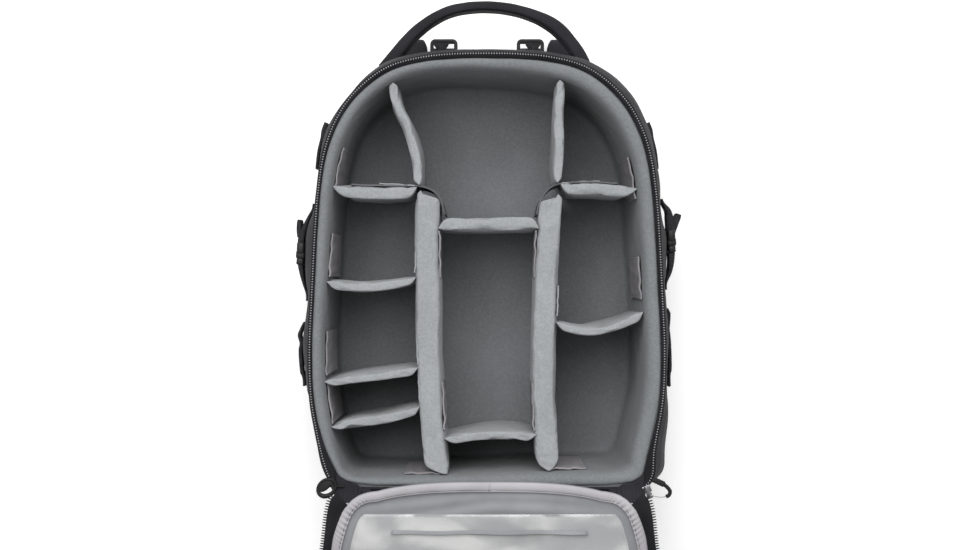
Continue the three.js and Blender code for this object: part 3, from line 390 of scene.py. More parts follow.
def math_node(nodes, links, kind, a, b=None):
    node = nodes.new("ShaderNodeMath")
    node.operation = kind
    for socket, value in zip(node.inputs, (a, b)):
        if value is None:
            continue
        if isinstance(value, (int, float)):
            socket.default_value = value
        else:
            links.new(value, socket)
    return node.outputs[0]


def brushed_group():
    """Brushed loop cloth: fine fibres, a soft knit and slow unevenness."""
    group, source, sink = node_group(
        "Brushed cloth",
        [("Vector", "NodeSocketVector", None), ("Fibre", "NodeSocketFloat", 900.0), ("Knit", "NodeSocketFloat", 420.0)],
        [("Height", "NodeSocketFloat"), ("Shade", "NodeSocketFloat")],
    )
    nodes, links = group.nodes, group.links
    fibre = nodes.new("ShaderNodeTexNoise")
    fibre.inputs["Detail"].default_value = 3
    knit = nodes.new("ShaderNodeTexVoronoi")
    slow = nodes.new("ShaderNodeTexNoise")
    slow.inputs["Scale"].default_value = 22
    slow.inputs["Detail"].default_value = 4
    for node in (fibre, knit, slow):
        links.new(source.outputs["Vector"], node.inputs["Vector"])
    links.new(source.outputs["Fibre"], fibre.inputs["Scale"])
    links.new(source.outputs["Knit"], knit.inputs["Scale"])
    height = math_node(nodes, links, "ADD", fibre.outputs["Fac"], math_node(nodes, links, "MULTIPLY", knit.outputs["Distance"], 0.6))
    shade = math_node(nodes, links, "ADD", math_node(nodes, links, "MULTIPLY", height, 0.55), math_node(nodes, links, "MULTIPLY", slow.outputs["Fac"], 0.5))
    links.new(height, sink.inputs["Height"])
    links.new(shade, sink.inputs["Shade"])
    return group


def weave_group():
    """Plain weave on whichever plane the surface faces: threads over and under, and slow unevenness."""
    group, source, sink = node_group(
        "Plain weave",
        [("Vector", "NodeSocketVector", None), ("Threads", "NodeSocketFloat", 1400.0)],
        [("Height", "NodeSocketFloat"), ("Shade", "NodeSocketFloat")],
    )
    nodes, links = group.nodes, group.links
    scaled = nodes.new("ShaderNodeVectorMath")
    scaled.operation = "SCALE"
    links.new(source.outputs["Vector"], scaled.inputs[0])
    links.new(source.outputs["Threads"], scaled.inputs["Scale"])
    axes = nodes.new("ShaderNodeSeparateXYZ")
    links.new(scaled.outputs[0], axes.inputs[0])
    waves = [math_node(nodes, links, "SINE", axes.outputs[k]) for k in range(3)]
    facing = nodes.new("ShaderNodeNewGeometry")
    normal = nodes.new("ShaderNodeSeparateXYZ")
    links.new(facing.outputs["Normal"], normal.inputs[0])
    total = None
    for k in range(3):
        cross = math_node(nodes, links, "MULTIPLY", waves[(k + 1) % 3], waves[(k + 2) % 3])
        weight = math_node(nodes, links, "MULTIPLY", normal.outputs[k], normal.outputs[k])
        part = math_node(nodes, links, "MULTIPLY", cross, weight)
        total = part if total is None else math_node(nodes, links, "ADD", total, part)
    slow = nodes.new("ShaderNodeTexNoise")
    slow.inputs["Scale"].default_value = 30
    slow.inputs["Detail"].default_value = 5
    links.new(source.outputs["Vector"], slow.inputs["Vector"])
    links.new(math_node(nodes, links, "MULTIPLY", total, 0.5), sink.inputs["Height"])
    shade = math_node(nodes, links, "ADD", math_node(nodes, links, "MULTIPLY", total, 0.3), slow.outputs["Fac"])
    links.new(shade, sink.inputs["Shade"])
    return group


def ribbed_group():
    """Webbing: ribs across and a row of stitches' hollows along each edge, on the piece's UV map in metres."""
    group, source, sink = node_group(
        "Ribbed webbing",
        [("Vector", "NodeSocketVector", None), ("Rib", "NodeSocketFloat", 3000.0)],
        [("Height", "NodeSocketFloat"), ("Shade", "NodeSocketFloat")],
    )
    nodes, links = group.nodes, group.links
    axes = nodes.new("ShaderNodeSeparateXYZ")
    links.new(source.outputs["Vector"], axes.inputs[0])
    along = math_node(nodes, links, "SINE", math_node(nodes, links, "MULTIPLY", axes.outputs[0], source.outputs["Rib"]))
    across = math_node(nodes, links, "SINE", math_node(nodes, links, "MULTIPLY", axes.outputs[1], source.outputs["Rib"]))
    height = math_node(nodes, links, "ADD", math_node(nodes, links, "MULTIPLY", along, 0.5), math_node(nodes, links, "MULTIPLY", across, 0.25))
    grain = nodes.new("ShaderNodeTexNoise")
    grain.inputs["Scale"].default_value = 160
    links.new(source.outputs["Vector"], grain.inputs["Vector"])
    links.new(height, sink.inputs["Height"])
    links.new(math_node(nodes, links, "ADD", math_node(nodes, links, "MULTIPLY", height, 0.25), grain.outputs["Fac"]), sink.inputs["Shade"])
    return group


BRUSHED = brushed_group()
WEAVE = weave_group()
RIBBED = ribbed_group()


def cloth(name, group, dark, light, depth, coords="Object", roughness=0.9, sheen=0.0, gloss=0.25, **values):
    """A cloth finish: one of the groups sets its colour between two shades and its bump."""
    material = bpy.data.materials.new(name)
    material.use_nodes = True
    nodes, links = material.node_tree.nodes, material.node_tree.links
    shader = nodes["Principled BSDF"]
    shader.inputs["Roughness"].default_value = roughness
    shader.inputs["Specular IOR Level"].default_value = gloss
    shader.inputs["Sheen Weight"].default_value = sheen
    shader.inputs["Sheen Roughness"].default_value = 0.5
    place = nodes.new("ShaderNodeTexCoord")
    effect = nodes.new("ShaderNodeGroup")
    effect.node_tree = group
    for label, value in values.items():
        effect.inputs[label].default_value = value
    links.new(place.outputs[coords], effect.inputs["Vector"])
    ramp = nodes.new("ShaderNodeValToRGB")
    ramp.color_ramp.elements[0].position, ramp.color_ramp.elements[0].color = 0.25, (*dark, 1)
    ramp.color_ramp.elements[1].position, ramp.color_ramp.elements[1].color = 0.85, (*light, 1)
    links.new(effect.outputs["Shade"], ramp.inputs["Fac"])
    links.new(ramp.outputs["Color"], shader.inputs["Base Color"])
    bump = nodes.new("ShaderNodeBump")
    bump.inputs["Distance"].default_value = depth
    bump.inputs["Strength"].default_value = 0.6
    links.new(effect.outputs["Height"], bump.inputs["Height"])
    links.new(bump.outputs["Normal"], shader.inputs["Normal"])
    return material


def hard(name, color, roughness, metallic=0.0, gloss=0.25, grain=0.02 * MM):
    """Moulded plastic or painted metal with a fine grain and slightly uneven gloss."""
    material = bpy.data.materials.new(name)
    material.use_nodes = True
    nodes, links = material.node_tree.nodes, material.node_tree.links
    shader = nodes["Principled BSDF"]
    shader.inputs["Metallic"].default_value = metallic
    shader.inputs["Specular IOR Level"].default_value = gloss
    place = nodes.new("ShaderNodeTexCoord")
    noise = nodes.new("ShaderNodeTexNoise")
    noise.inputs["Scale"].default_value = 1800
    noise.inputs["Detail"].default_value = 3
    links.new(place.outputs["Object"], noise.inputs["Vector"])
    uneven = nodes.new("ShaderNodeMapRange")
    uneven.inputs["To Min"].default_value = roughness - 0.06
    uneven.inputs["To Max"].default_value = roughness + 0.08
    links.new(noise.outputs["Fac"], uneven.inputs["Value"])
    links.new(uneven.outputs[0], shader.inputs["Roughness"])
    slow = nodes.new("ShaderNodeTexNoise")
    slow.inputs["Scale"].default_value = 90
    links.new(place.outputs["Object"], slow.inputs["Vector"])
    ramp = nodes.new("ShaderNodeValToRGB")
    ramp.color_ramp.elements[0].color = (*[c * 0.8 for c in color], 1)
    ramp.color_ramp.elements[1].color = (*[c * 1.25 for c in color], 1)
    links.new(slow.outputs["Fac"], ramp.inputs["Fac"])
    links.new(ramp.outputs["Color"], shader.inputs["Base Color"])
    bump = nodes.new("ShaderNodeBump")
    bump.inputs["Distance"].default_value = grain
    bump.inputs["Strength"].default_value = 0.5
    links.new(noise.outputs["Fac"], bump.inputs["Height"])
    links.new(bump.outputs["Normal"], shader.inputs["Normal"])
    return material


def vinyl(name):
    """Clear soft vinyl, slightly wavy, with painted glare: its near-white colour shows in patches where the noise
    raises its opacity.
    """
    material = bpy.data.materials.new(name)
    material.use_nodes = True
    nodes, links = material.node_tree.nodes, material.node_tree.links
    shader = nodes["Principled BSDF"]
    shader.inputs["Base Color"].default_value = (0.95, 0.95, 0.94, 1)
    shader.inputs["Roughness"].default_value = 0.14
    shader.inputs["Coat Weight"].default_value = 0.5
    shader.inputs["Coat Roughness"].default_value = 0.05
    place = nodes.new("ShaderNodeTexCoord")
    waves = nodes.new("ShaderNodeTexNoise")
    waves.inputs["Scale"].default_value = 13
    waves.inputs["Distortion"].default_value = 0.8
    links.new(place.outputs["Object"], waves.inputs["Vector"])
    # Painted glare: the film's near-white colour shows in patches where this raises its opacity.
    glare = nodes.new("ShaderNodeMapRange")
    glare.interpolation_type = "SMOOTHSTEP"
    glare.inputs["From Min"].default_value = 0.4
    glare.inputs["From Max"].default_value = 0.7
    glare.inputs["To Min"].default_value = 0.12
    glare.inputs["To Max"].default_value = 0.42
    links.new(waves.outputs["Fac"], glare.inputs["Value"])
    links.new(glare.outputs[0], shader.inputs["Alpha"])
    bump = nodes.new("ShaderNodeBump")
    bump.inputs["Distance"].default_value = 4 * MM
    bump.inputs["Strength"].default_value = 0.35
    links.new(waves.outputs["Fac"], bump.inputs["Height"])
    links.new(bump.outputs["Normal"], shader.inputs["Normal"])
    return material


NYLON = cloth("black nylon", WEAVE, (0.011, 0.0105, 0.013), (0.03, 0.029, 0.034), 0.12 * MM, roughness=0.7, gloss=0.14, Threads=5600.0)
WEBBING = cloth("black webbing", RIBBED, (0.012, 0.012, 0.014), (0.04, 0.04, 0.045), 0.25 * MM, coords="UV", roughness=0.8, Rib=4200.0)
LINING = cloth("grey brushed lining", BRUSHED, (0.2, 0.21, 0.216), (0.31, 0.322, 0.33), 0.35 * MM, sheen=0.12)
# Compartment liner: the dividers' brushed grey lining at about half the brightness, darker as painted shade on the
# walls and rim.
SHADED_LINING = cloth("grey lining darkened for painted shade", BRUSHED, (0.118, 0.125, 0.13), (0.19, 0.2, 0.206), 0.35 * MM, sheen=0.08)
TAB_CLOTH = cloth("mauve grey tab cloth", WEAVE, (0.19, 0.182, 0.19), (0.32, 0.305, 0.32), 0.12 * MM, roughness=0.6, Threads=6500.0)
TAB_DARK = cloth("dark grey tab cloth", WEAVE, (0.07, 0.072, 0.076), (0.14, 0.143, 0.15), 0.12 * MM, roughness=0.7, Threads=6500.0)
BINDING = cloth("pale grey binding", WEAVE, (0.35, 0.335, 0.355), (0.49, 0.475, 0.495), 0.15 * MM, roughness=0.75, Threads=6500.0)
TAPE = cloth("zip tape", WEAVE, (0.008, 0.008, 0.009), (0.026, 0.026, 0.029), 0.15 * MM, gloss=0.12, Threads=5600.0)
# Light grey beads on top of the black comb's teeth: painted glints where the teeth catch the light.
TOOTH_GLINTS = hard("painted glints on zip teeth", (0.36, 0.36, 0.375), 0.4)
CORD = hard("pale grey cord", (0.42, 0.42, 0.44), 0.8)
COMB = hard("black zip teeth", (0.02, 0.02, 0.022), 0.35)
PLASTIC = hard("black moulded plastic", (0.014, 0.014, 0.015), 0.4)
SLIDER_METAL = hard("dark plated metal", (0.24, 0.24, 0.25), 0.24, metallic=0.9)
SLIDER_BLACK = hard("black painted metal", (0.014, 0.014, 0.015), 0.35)
RUBBER = hard("black rubber", (0.009, 0.009, 0.009), 0.55)
THREAD_GREY = hard("grey thread", (0.42, 0.42, 0.43), 0.8)
THREAD_BLACK = hard("black thread", (0.03, 0.03, 0.032), 0.75)
THREAD_DARK = hard("dark grey thread", (0.07, 0.07, 0.075), 0.7)
VINYL = vinyl("clear vinyl")
FLAP_LINING = cloth("light grey pocket lining", WEAVE, (0.21, 0.216, 0.228), (0.31, 0.318, 0.332), 0.12 * MM, roughness=0.6, Threads=6500.0)
MESH_CLOTH = cloth("black spacer mesh", BRUSHED, (0.008, 0.008, 0.009), (0.05, 0.05, 0.055), 0.8 * MM, Fibre=260.0, Knit=330.0)


# Things repeated along an edge: zip teeth and stitches


def repeat_tree():
    """Small solids in a row along a guide line, turned by the guide's own across and up vectors."""
    tree = bpy.data.node_groups.new("Row along an edge", "GeometryNodeTree")
    face = tree.interface
    face.new_socket("Guide", in_out="INPUT", socket_type="NodeSocketGeometry")
    face.new_socket("Pitch", in_out="INPUT", socket_type="NodeSocketFloat")
    face.new_socket("Size", in_out="INPUT", socket_type="NodeSocketVector")
    face.new_socket("Material", in_out="INPUT", socket_type="NodeSocketMaterial")
    face.new_socket("Row", in_out="OUTPUT", socket_type="NodeSocketGeometry")
    nodes, links = tree.nodes, tree.links
    source, sink = nodes.new("NodeGroupInput"), nodes.new("NodeGroupOutput")
    curve = nodes.new("GeometryNodeMeshToCurve")
    spaced = nodes.new("GeometryNodeResampleCurve")
    spaced.mode = "LENGTH"
    bead = nodes.new("GeometryNodeMeshIcoSphere")
    bead.inputs["Radius"].default_value = 0.5
    bead.inputs["Subdivisions"].default_value = 2
    place = nodes.new("GeometryNodeInstanceOnPoints")
    turns = []
    for axis, label in (("X", "across"), ("Z", "up")):
        read = nodes.new("GeometryNodeInputNamedAttribute")
        read.data_type = "FLOAT_VECTOR"
        read.inputs["Name"].default_value = label
        turn = nodes.new("FunctionNodeAlignRotationToVector")
        turn.axis = axis
        turn.pivot_axis = "AUTO" if axis == "X" else "X"
        links.new(read.outputs["Attribute"], turn.inputs["Vector"])
        turns.append(turn)
    links.new(turns[0].outputs[0], turns[1].inputs["Rotation"])
    solid = nodes.new("GeometryNodeRealizeInstances")
    paint = nodes.new("GeometryNodeSetMaterial")
    links.new(source.outputs["Guide"], curve.inputs["Mesh"])
    links.new(curve.outputs["Curve"], spaced.inputs["Curve"])
    links.new(source.outputs["Pitch"], spaced.inputs["Length"])
    links.new(spaced.outputs["Curve"], place.inputs["Points"])
    links.new(bead.outputs["Mesh"], place.inputs["Instance"])
    links.new(turns[1].outputs[0], place.inputs["Rotation"])
    links.new(source.outputs["Size"], place.inputs["Scale"])
    links.new(place.outputs["Instances"], solid.inputs["Geometry"])
    links.new(solid.outputs["Geometry"], paint.inputs["Geometry"])
    links.new(source.outputs["Material"], paint.inputs["Material"])
    links.new(paint.outputs["Geometry"], sink.inputs["Row"])
    return tree


ROW_TREE = repeat_tree()


def row_along(name, guides, pitch, size, material):
    """Beads of a size (across, along, up) along guide lines, each given as (path, across, up)."""
    mesh = bpy.data.meshes.new(name)
    points = np.vstack([g[0] for g in guides])
    edges, first = [], 0
    for path, _, _ in guides:
        edges += [(first + k, first + k + 1) for k in range(len(path) - 1)]
        first += len(path)
    mesh.from_pydata(points.tolist(), edges, [])
    for label, k in (("across", 1), ("up", 2)):
        layer = mesh.attributes.new(label, "FLOAT_VECTOR", "POINT")
        layer.data.foreach_set("vector", np.vstack([g[k] for g in guides]).ravel())
    guide = bpy.data.objects.new(name, mesh)
    bpy.context.collection.objects.link(guide)
    modifier = guide.modifiers.new("Row", "NODES")
    modifier.node_group = ROW_TREE
    sockets = {item.name: item.identifier for item in ROW_TREE.interface.items_tree if item.in_out == "INPUT"}
    modifier[sockets["Pitch"]] = pitch
    modifier[sockets["Size"]] = size
    modifier[sockets["Material"]] = material
    made = bpy.data.meshes.new_from_object(guide.evaluated_get(bpy.context.evaluated_depsgraph_get()))
    guide.modifiers.clear()
    guide.data = made
    made.shade_smooth()
    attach(guide, "root")
    return guide


def surface_guide(path, up):
    """A guide line for a row of beads: its points, its across vectors and its up vectors."""
    along, across, _ = frames_on(path, np.cross(np.gradient(path, axis=0), up) + 1e-9)
    return path, across, np.cross(across, along)


# Cloth simulation of the pads

PAD_FRAMES = 20


def swell_pads(pads):
    """Cloth simulation of the dividers' covers: the foam presses the cloth out, and it creases at the sewn ends
    and at the floor. The moved points are capped, and the simulation leaves no modifier behind."""
    for pad in pads:
        before = np.array([v.co for v in pad.data.vertices])
        low, high = before.min(0), before.max(0)
        long_way = (high - low)[:2].argmax()
        from_end = np.minimum(before[:, long_way] - low[long_way], high[long_way] - before[:, long_way])
        held = pad.vertex_groups.new(name="sewn")
        sewn = np.flatnonzero((before[:, 2] < low[2] + 6 * MM) | (from_end < 2.5 * MM))
        held.add(sewn.tolist(), 1.0, "REPLACE")
        cloth_ = pad.modifiers.new("Cover", "CLOTH").settings
        cloth_.quality = 5
        cloth_.mass = 0.25
        cloth_.use_pressure = True
        cloth_.uniform_pressure_force = 2.2
        cloth_.vertex_group_mass = "sewn"
        cloth_.tension_stiffness = cloth_.compression_stiffness = 18
        cloth_.shear_stiffness = 8
        cloth_.bending_stiffness = 0.6
        cloth_.shrink_min = -0.012
        cloth_.effector_weights.gravity = 0
    scene = bpy.context.scene
    for step in range(1, PAD_FRAMES + 1):
        scene.frame_set(step)
    graph = bpy.context.evaluated_depsgraph_get()
    for pad in pads:
        before = np.array([v.co for v in pad.data.vertices])
        after = np.array([v.co for v in pad.evaluated_get(graph).data.vertices])
        shift = after - before
        size = np.linalg.norm(shift, axis=1, keepdims=True)
        cap = 1.1 * MM
        shift *= np.minimum(1, cap / np.maximum(size, 1e-9))
        pad.modifiers.clear()
        pad.vertex_groups.clear()
        pad.data.vertices.foreach_set("co", (before + shift).ravel())
        pad.data.update()
    scene.frame_set(1)


# Main compartment


def rings_of(outs, heights, count):
    """Rings of the outline, one for each pair of distance out and height."""
    u = np.arange(count) / count
    return np.stack([in_body(edge_point(u, out), z) for out, z in zip(outs, heights)])


def push(grid, amount):
    """Moves each point of a grid of rings away from or towards the middle of the body, in plan."""
    way = grid[..., :2] - CENTRE
    way /= np.linalg.norm(way, axis=-1, keepdims=True) + 1e-9
    moved = grid.copy()
    moved[..., :2] += way * amount[..., None]
    return moved


def shrunk(ring, factors):
    """Rings drawn in to the middle of the body."""
    flat = ring.copy()
    return np.stack([np.concatenate([(flat[:, :2] - CENTRE) * f + CENTRE, flat[:, 2:]], 1) for f in factors])


AROUND = 640


RING = np.arange(AROUND) / AROUND


def outer_shell():
    heights = np.linspace(BACK_Z, RIM_Z, 46)
    outside = rings_of([wall_out(z, RING) for z in heights], heights, AROUND)
    up = (heights - BACK_Z)[:, None] / BODY_DEPTH
    folds = 1.1 * MM * ripple(outside, 0.11, 3) + 0.5 * MM * ripple(outside * [1, 1, 0.4], 0.035, 4)
    seam = np.exp(-(((up - 0.9) / 0.012) ** 2)) + np.exp(-(((up - 0.13) / 0.012) ** 2))
    calm = smooth_step((1 - up) / 0.08) * smooth_step(up / 0.04)
    outside = push(outside, (folds - 0.9 * MM * seam) * calm)
    back = shrunk(outside[0], [0.985, 0.9, 0.75, 0.55, 0.3, 0.1])[::-1]
    inside_heights = np.linspace(RIM_Z, BACK_Z + SHELL_WALL, 8)
    inside = rings_of([wall_out(z, RING) - SHELL_WALL for z in inside_heights], inside_heights, AROUND)
    piece = skin("outer_shell_cloth", np.vstack([back, outside, inside]))
    return finish_piece(piece, NYLON, ["outer_shell"])


def liner_profile():
    """The liner's section from its outer foot over the crowned edge, down the wall and on to the floor."""
    rim = [
        (0, -1.4), (0.02, 0.4), (0.1, 1.5), (0.26, 2.1), (0.44, 1.9), (0.6, 1.1), (0.75, -0.4), (0.86, -2.7),
        (0.94, -5.9), (1, -10),
    ]
    gap = rim_gap(RING) + 0.2 * MM
    crown = liner_inset(RIM_Z, RING) + 0.7 * MM
    outs = [-gap - share * (crown - gap) for share, _ in rim]
    heights = [RIM_Z + z * MM for _, z in rim]
    wall = np.linspace(RIM_Z - 14 * MM, FLOOR_Z + 7 * MM, 26)
    outs += [-liner_inset(z, RING) - hollow for z, hollow in zip(wall, 0.4 * MM * np.sin(np.linspace(0, math.pi, 26)))]
    heights += list(wall)
    foot = liner_inset(FLOOR_Z, RING)
    for angle in (15, 35, 55, 75, 90):
        a = math.radians(angle)
        outs.append(-foot - 6 * MM * (1 - math.cos(a)))
        heights.append(FLOOR_Z + 6 * MM * (1 - math.sin(a)))
    return outs, np.array(heights)


def padded_liner():
    outs, heights = liner_profile()
    inside = rings_of(outs, heights, AROUND)
    depth = np.clip((RIM_Z - heights) / 0.02, -1, 1)[:, None]
    soft = 0.9 * MM * ripple(inside * [1, 1, 0.5], 0.075, 11) + 0.35 * MM * ripple(inside, 0.02, 12)
    inside = push(inside, soft * smooth_step((depth + 0.4) / 1.4))
    inside[..., 2] += 0.5 * MM * ripple(inside, 0.03, 13) * np.exp(-((heights - RIM_Z)[:, None] / (6 * MM)) ** 2)
    floor = shrunk(inside[-1], [0.975, 0.93, 0.86, 0.78, 0.68, 0.56, 0.42, 0.26, 0.1])
    floor[..., 2] += 0.5 * MM * ripple(floor, 0.09, 14)
    outer_heights = np.linspace(BACK_Z + SHELL_WALL + 0.4 * MM, RIM_Z - 0.6 * MM, 8)
    outside = rings_of([wall_out(z, RING) - SHELL_WALL - 0.4 * MM for z in outer_heights], outer_heights, AROUND)
    piece = skin("padded_liner_cloth", np.vstack([outside, inside, floor]))
    # The liner takes the darker copy of the lining, which paints the shade on the compartment's walls.
    return finish_piece(piece, SHADED_LINING, ["padded_liner"])


TAPE_Z = tape_low.z
ZIP_START = share_at((tape_low.y - CENTRE[1]) / (HALF_HEIGHT + 2.5 * MM), 1)
ZIP_SHARES = np.linspace(ZIP_START, 1 - ZIP_START, 700)


def body_zip():
    base = tape_low.z
    edge = -rim_gap(ZIP_SHARES) / MM
    section = [(2, 0), (edge, 0), (edge, 1), (-1.5, 1.2), (-0.9, 1.8), (1.1, 1.8), (1.5, 1.2), (2, 0.8)]
    grid = np.stack([in_body(edge_point(ZIP_SHARES, out * MM), base + z * MM) for out, z in section], 1)
    grid[..., 2] += 0.2 * MM * ripple(grid, 0.05, 21)
    piece = finish_piece(skin("body_zip_tape_cloth", grid), TAPE, ["body_zip_tape"])
    clear = np.linspace(ZIP_SHARES[0] + 0.003, ZIP_SHARES[-1] - 0.001, 700)
    teeth = in_body(edge_point(clear, 0.1 * MM), base + 2.1 * MM)
    # Painted glints: a light bead on top of each black tooth of the comb drawn below.
    row_along("body_zip_teeth_glints", [surface_guide(teeth, (0, 0, 1))], TOOTH_PITCH, (1.1 * MM, 0.95 * MM, 0.7 * MM), TOOTH_GLINTS)
    comb = in_body(edge_point(clear, 0.1 * MM), base + 1.6 * MM)
    row_along("body_zip_comb", [surface_guide(comb, (0, 0, 1))], TOOTH_PITCH, (3.0 * MM, 1.5 * MM, 1.1 * MM), COMB)
    return piece


# Dividers

LONG_LEFT = [(-0.336, 0.375), (-0.339, 0.1), (-0.334, -0.267), (-0.321, -0.59), (-0.27, -1)]
LONG_RIGHT = [(0.366, 0.36), (0.344, 0.1), (0.33, -0.22), (0.327, -0.59), (0.352, -1)]
UPPER_LEFT = [(-0.525, 1), (-0.53, 0.83), (-0.505, 0.755), (-0.46, 0.688), (-0.428, 0.615), (-0.398, 0.51), (-0.391, 0.4)]
UPPER_RIGHT = [(0.4, 1), (0.417, 0.83), (0.41, 0.7), (0.408, 0.6), (0.404, 0.47), (0.408, 0.395)]
SHELVES = {
    "left_shelf_1": ([(-1, 0.385), (-0.84, 0.372), (-0.6, 0.366), (-0.34, 0.37)], SHELF_PAD),
    "left_shelf_2": ([(-1, -0.056), (-0.88, -0.06), (-0.74, -0.068), (-0.5, -0.05), (-0.34, -0.03)], THIN_PAD),
    "left_shelf_3": ([(-1, -0.535), (-0.75, -0.49), (-0.5, -0.465), (-0.33, -0.45)], THIN_PAD),
    "left_shelf_4": ([(-1, -0.77), (-0.8, -0.705), (-0.55, -0.672), (-0.32, -0.62)], THIN_PAD),
    "centre_shelf_1": ([(-0.34, 0.222), (0, 0.218), (0.35, 0.222)], SHELF_PAD),
    "centre_shelf_2": ([(-0.3, -0.79), (0, -0.748), (0.2, -0.752), (0.35, -0.775)], THIN_PAD),
    "right_shelf_1": ([(0.36, 0.385), (0.6, 0.382), (0.8, 0.366), (1, 0.35)], SHELF_PAD),
    "right_shelf_2": ([(0.33, -0.235), (0.55, -0.27), (0.72, -0.248), (1, -0.16)], THIN_PAD),
}
DIVIDER_TOP = RIM_Z - DIVIDER_DROP


def plan_curve(shares, count=600):
    return spline([(x * HALF_WIDTH, y * HALF_HEIGHT) for x, y in shares], count)


def wall_radius(angle, z):
    """Distance from the middle of the body to the compartment's wall, in a direction and at a height."""
    around_all = np.arange(1440) / 1440
    ring = edge_point(around_all, -liner_inset(z, around_all) - 0.3 * MM)
    around = np.arctan2(ring[:, 1], ring[:, 0])
    order = np.argsort(around)
    return np.interp(angle, around[order], np.linalg.norm(ring, axis=1)[order], period=2 * math.pi)


def free_run(curve, z, stops):
    """The shares of a plan curve between which it is clear of the wall at a height and of (line, distance) stops."""
    angle = np.arctan2(curve[:, 1], curve[:, 0])
    clear = np.linalg.norm(curve, axis=1) < wall_radius(angle, z)
    for line, distance in stops:
        gap = np.linalg.norm(curve[:, None] - line[None, ::6], axis=2).min(1)
        clear &= gap > distance
    k = np.flatnonzero(clear)
    k = max(np.split(k, np.flatnonzero(np.diff(k) > 1) + 1), key=len)
    return k[0] / (len(curve) - 1), k[-1] / (len(curve) - 1)


def on_curve(curve, share):
    k = np.clip(share, 0, 1) * (len(curve) - 1)
    low = np.minimum(np.floor(k).astype(int), len(curve) - 2)
    part = (k - low)[..., None]
    return curve[low] * (1 - part) + curve[low + 1] * part


def pad_section(thick, corner):
    """Half the height of a pad's cross-section up one side, over the flat top and down the other: (across, z)."""
    half, low = thick / 2, FLOOR_Z + 0.4 * MM
    climb = np.linspace(low, DIVIDER_TOP - corner, 26)
    turn = np.radians(np.linspace(180, 90, 6)[1:])
    left = [(-half, z) for z in climb]
    left += [(-half + corner * (1 + math.cos(a)), DIVIDER_TOP - corner * (1 - math.sin(a))) for a in turn]
    top = [(x, DIVIDER_TOP) for x in np.linspace(-half + corner, half - corner, 6)[1:-1]]
    right = [(-x, z) for x, z in left[::-1]]
    return np.array(left + top + right)


def padded_divider(name, shares, thick, stops, seed, ends):
    """A foam pad in cloth that stands on the floor. Each end is (reach, lean, cut) in millimetres and shares: the
    pad thins out over its reach towards its tab, which leans to one face (1 right of its run, -1 left), and
    cut takes that much more off one side (right if positive, left if negative)."""
    curve = plan_curve(shares)
    length = np.linalg.norm(np.diff(curve, axis=0), axis=1).sum()
    runs = [free_run(curve, z, stops) for z in (DIVIDER_TOP, FLOOR_Z)]
    half = thick / 2
    section = pad_section(thick, min(half * 0.7, 2.6 * MM))
    across, tall = section[:, 0], DIVIDER_TOP - FLOOR_Z
    depth = np.clip((DIVIDER_TOP - section[:, 1]) / tall, 0, 1)
    first = (runs[0][0] + (runs[1][0] - runs[0][0]) * depth) * length
    last = (runs[0][1] + (runs[1][1] - runs[0][1]) * depth) * length
    cuts = [abs(cut) * MM * (1 + np.sign(cut) * across / half) / 2 for _, _, cut in ends]
    count = max(int((last - first).mean() / (2.3 * MM)), 30)
    t = np.linspace(0, 1, count)
    t = (0.6 * t + 0.4 * (0.5 - 0.5 * np.cos(math.pi * t)))[:, None]
    run = (first + cuts[0]) * (1 - t) + (last - cuts[1]) * t
    share = run / length
    centre = on_curve(curve, share)
    ahead = on_curve(curve, np.minimum(share + 0.004, 1)) - on_curve(curve, np.maximum(share - 0.004, 0))
    ahead /= np.linalg.norm(ahead, axis=-1, keepdims=True)
    side = np.stack([ahead[..., 1], -ahead[..., 0]], -1)
    offset = np.broadcast_to(across, share.shape).copy()
    full = np.ones_like(share)
    for gone, (reach, lean, _) in ((run - first - cuts[0], ends[0]), (last - cuts[1] - run, ends[1])):
        far = np.clip(gone / (reach * MM), 0, 1)
        fit = 0.12 + 0.88 * (1 - (1 - far) ** 1.8)
        offset = lean * half + (offset - lean * half) * fit
        full *= fit
    middle = np.sin(math.pi * t)
    top_share = smooth_step((section[:, 1] - (DIVIDER_TOP - 0.03)) / 0.03)
    height = section[:, 1] - 1.4 * MM * middle * top_share
    grid = in_body(centre + side * offset[..., None], height)
    soft = ripple(grid * [1, 1, 0.6], 0.055, seed) * 0.7 * MM + ripple(grid, 0.017, seed + 1) * 0.25 * MM
    swell = 0.9 * MM * middle * np.sin(math.pi * np.clip(depth, 0.03, 0.97)) * np.sign(across)
    grid[..., :2] += side * ((soft + swell) * full)[..., None]
    grid[..., 2] += (0.4 * MM * ripple(grid, 0.024, seed + 2) + 0.15 * MM * ripple(grid, 0.006, seed + 3)) * top_share
    return skin(name, grid)


SHELF_ENDS = {
    "left_shelf_1": ((12, -1, 0), (7, -1, 0)),
    "centre_shelf_1": ((7, 1, 0), (7, 1, 0)),
    "right_shelf_1": ((7, -1, 0), (12, -1, 0)),
}
THIN_ENDS = ((9, -1, 0), (7, -1, 0))


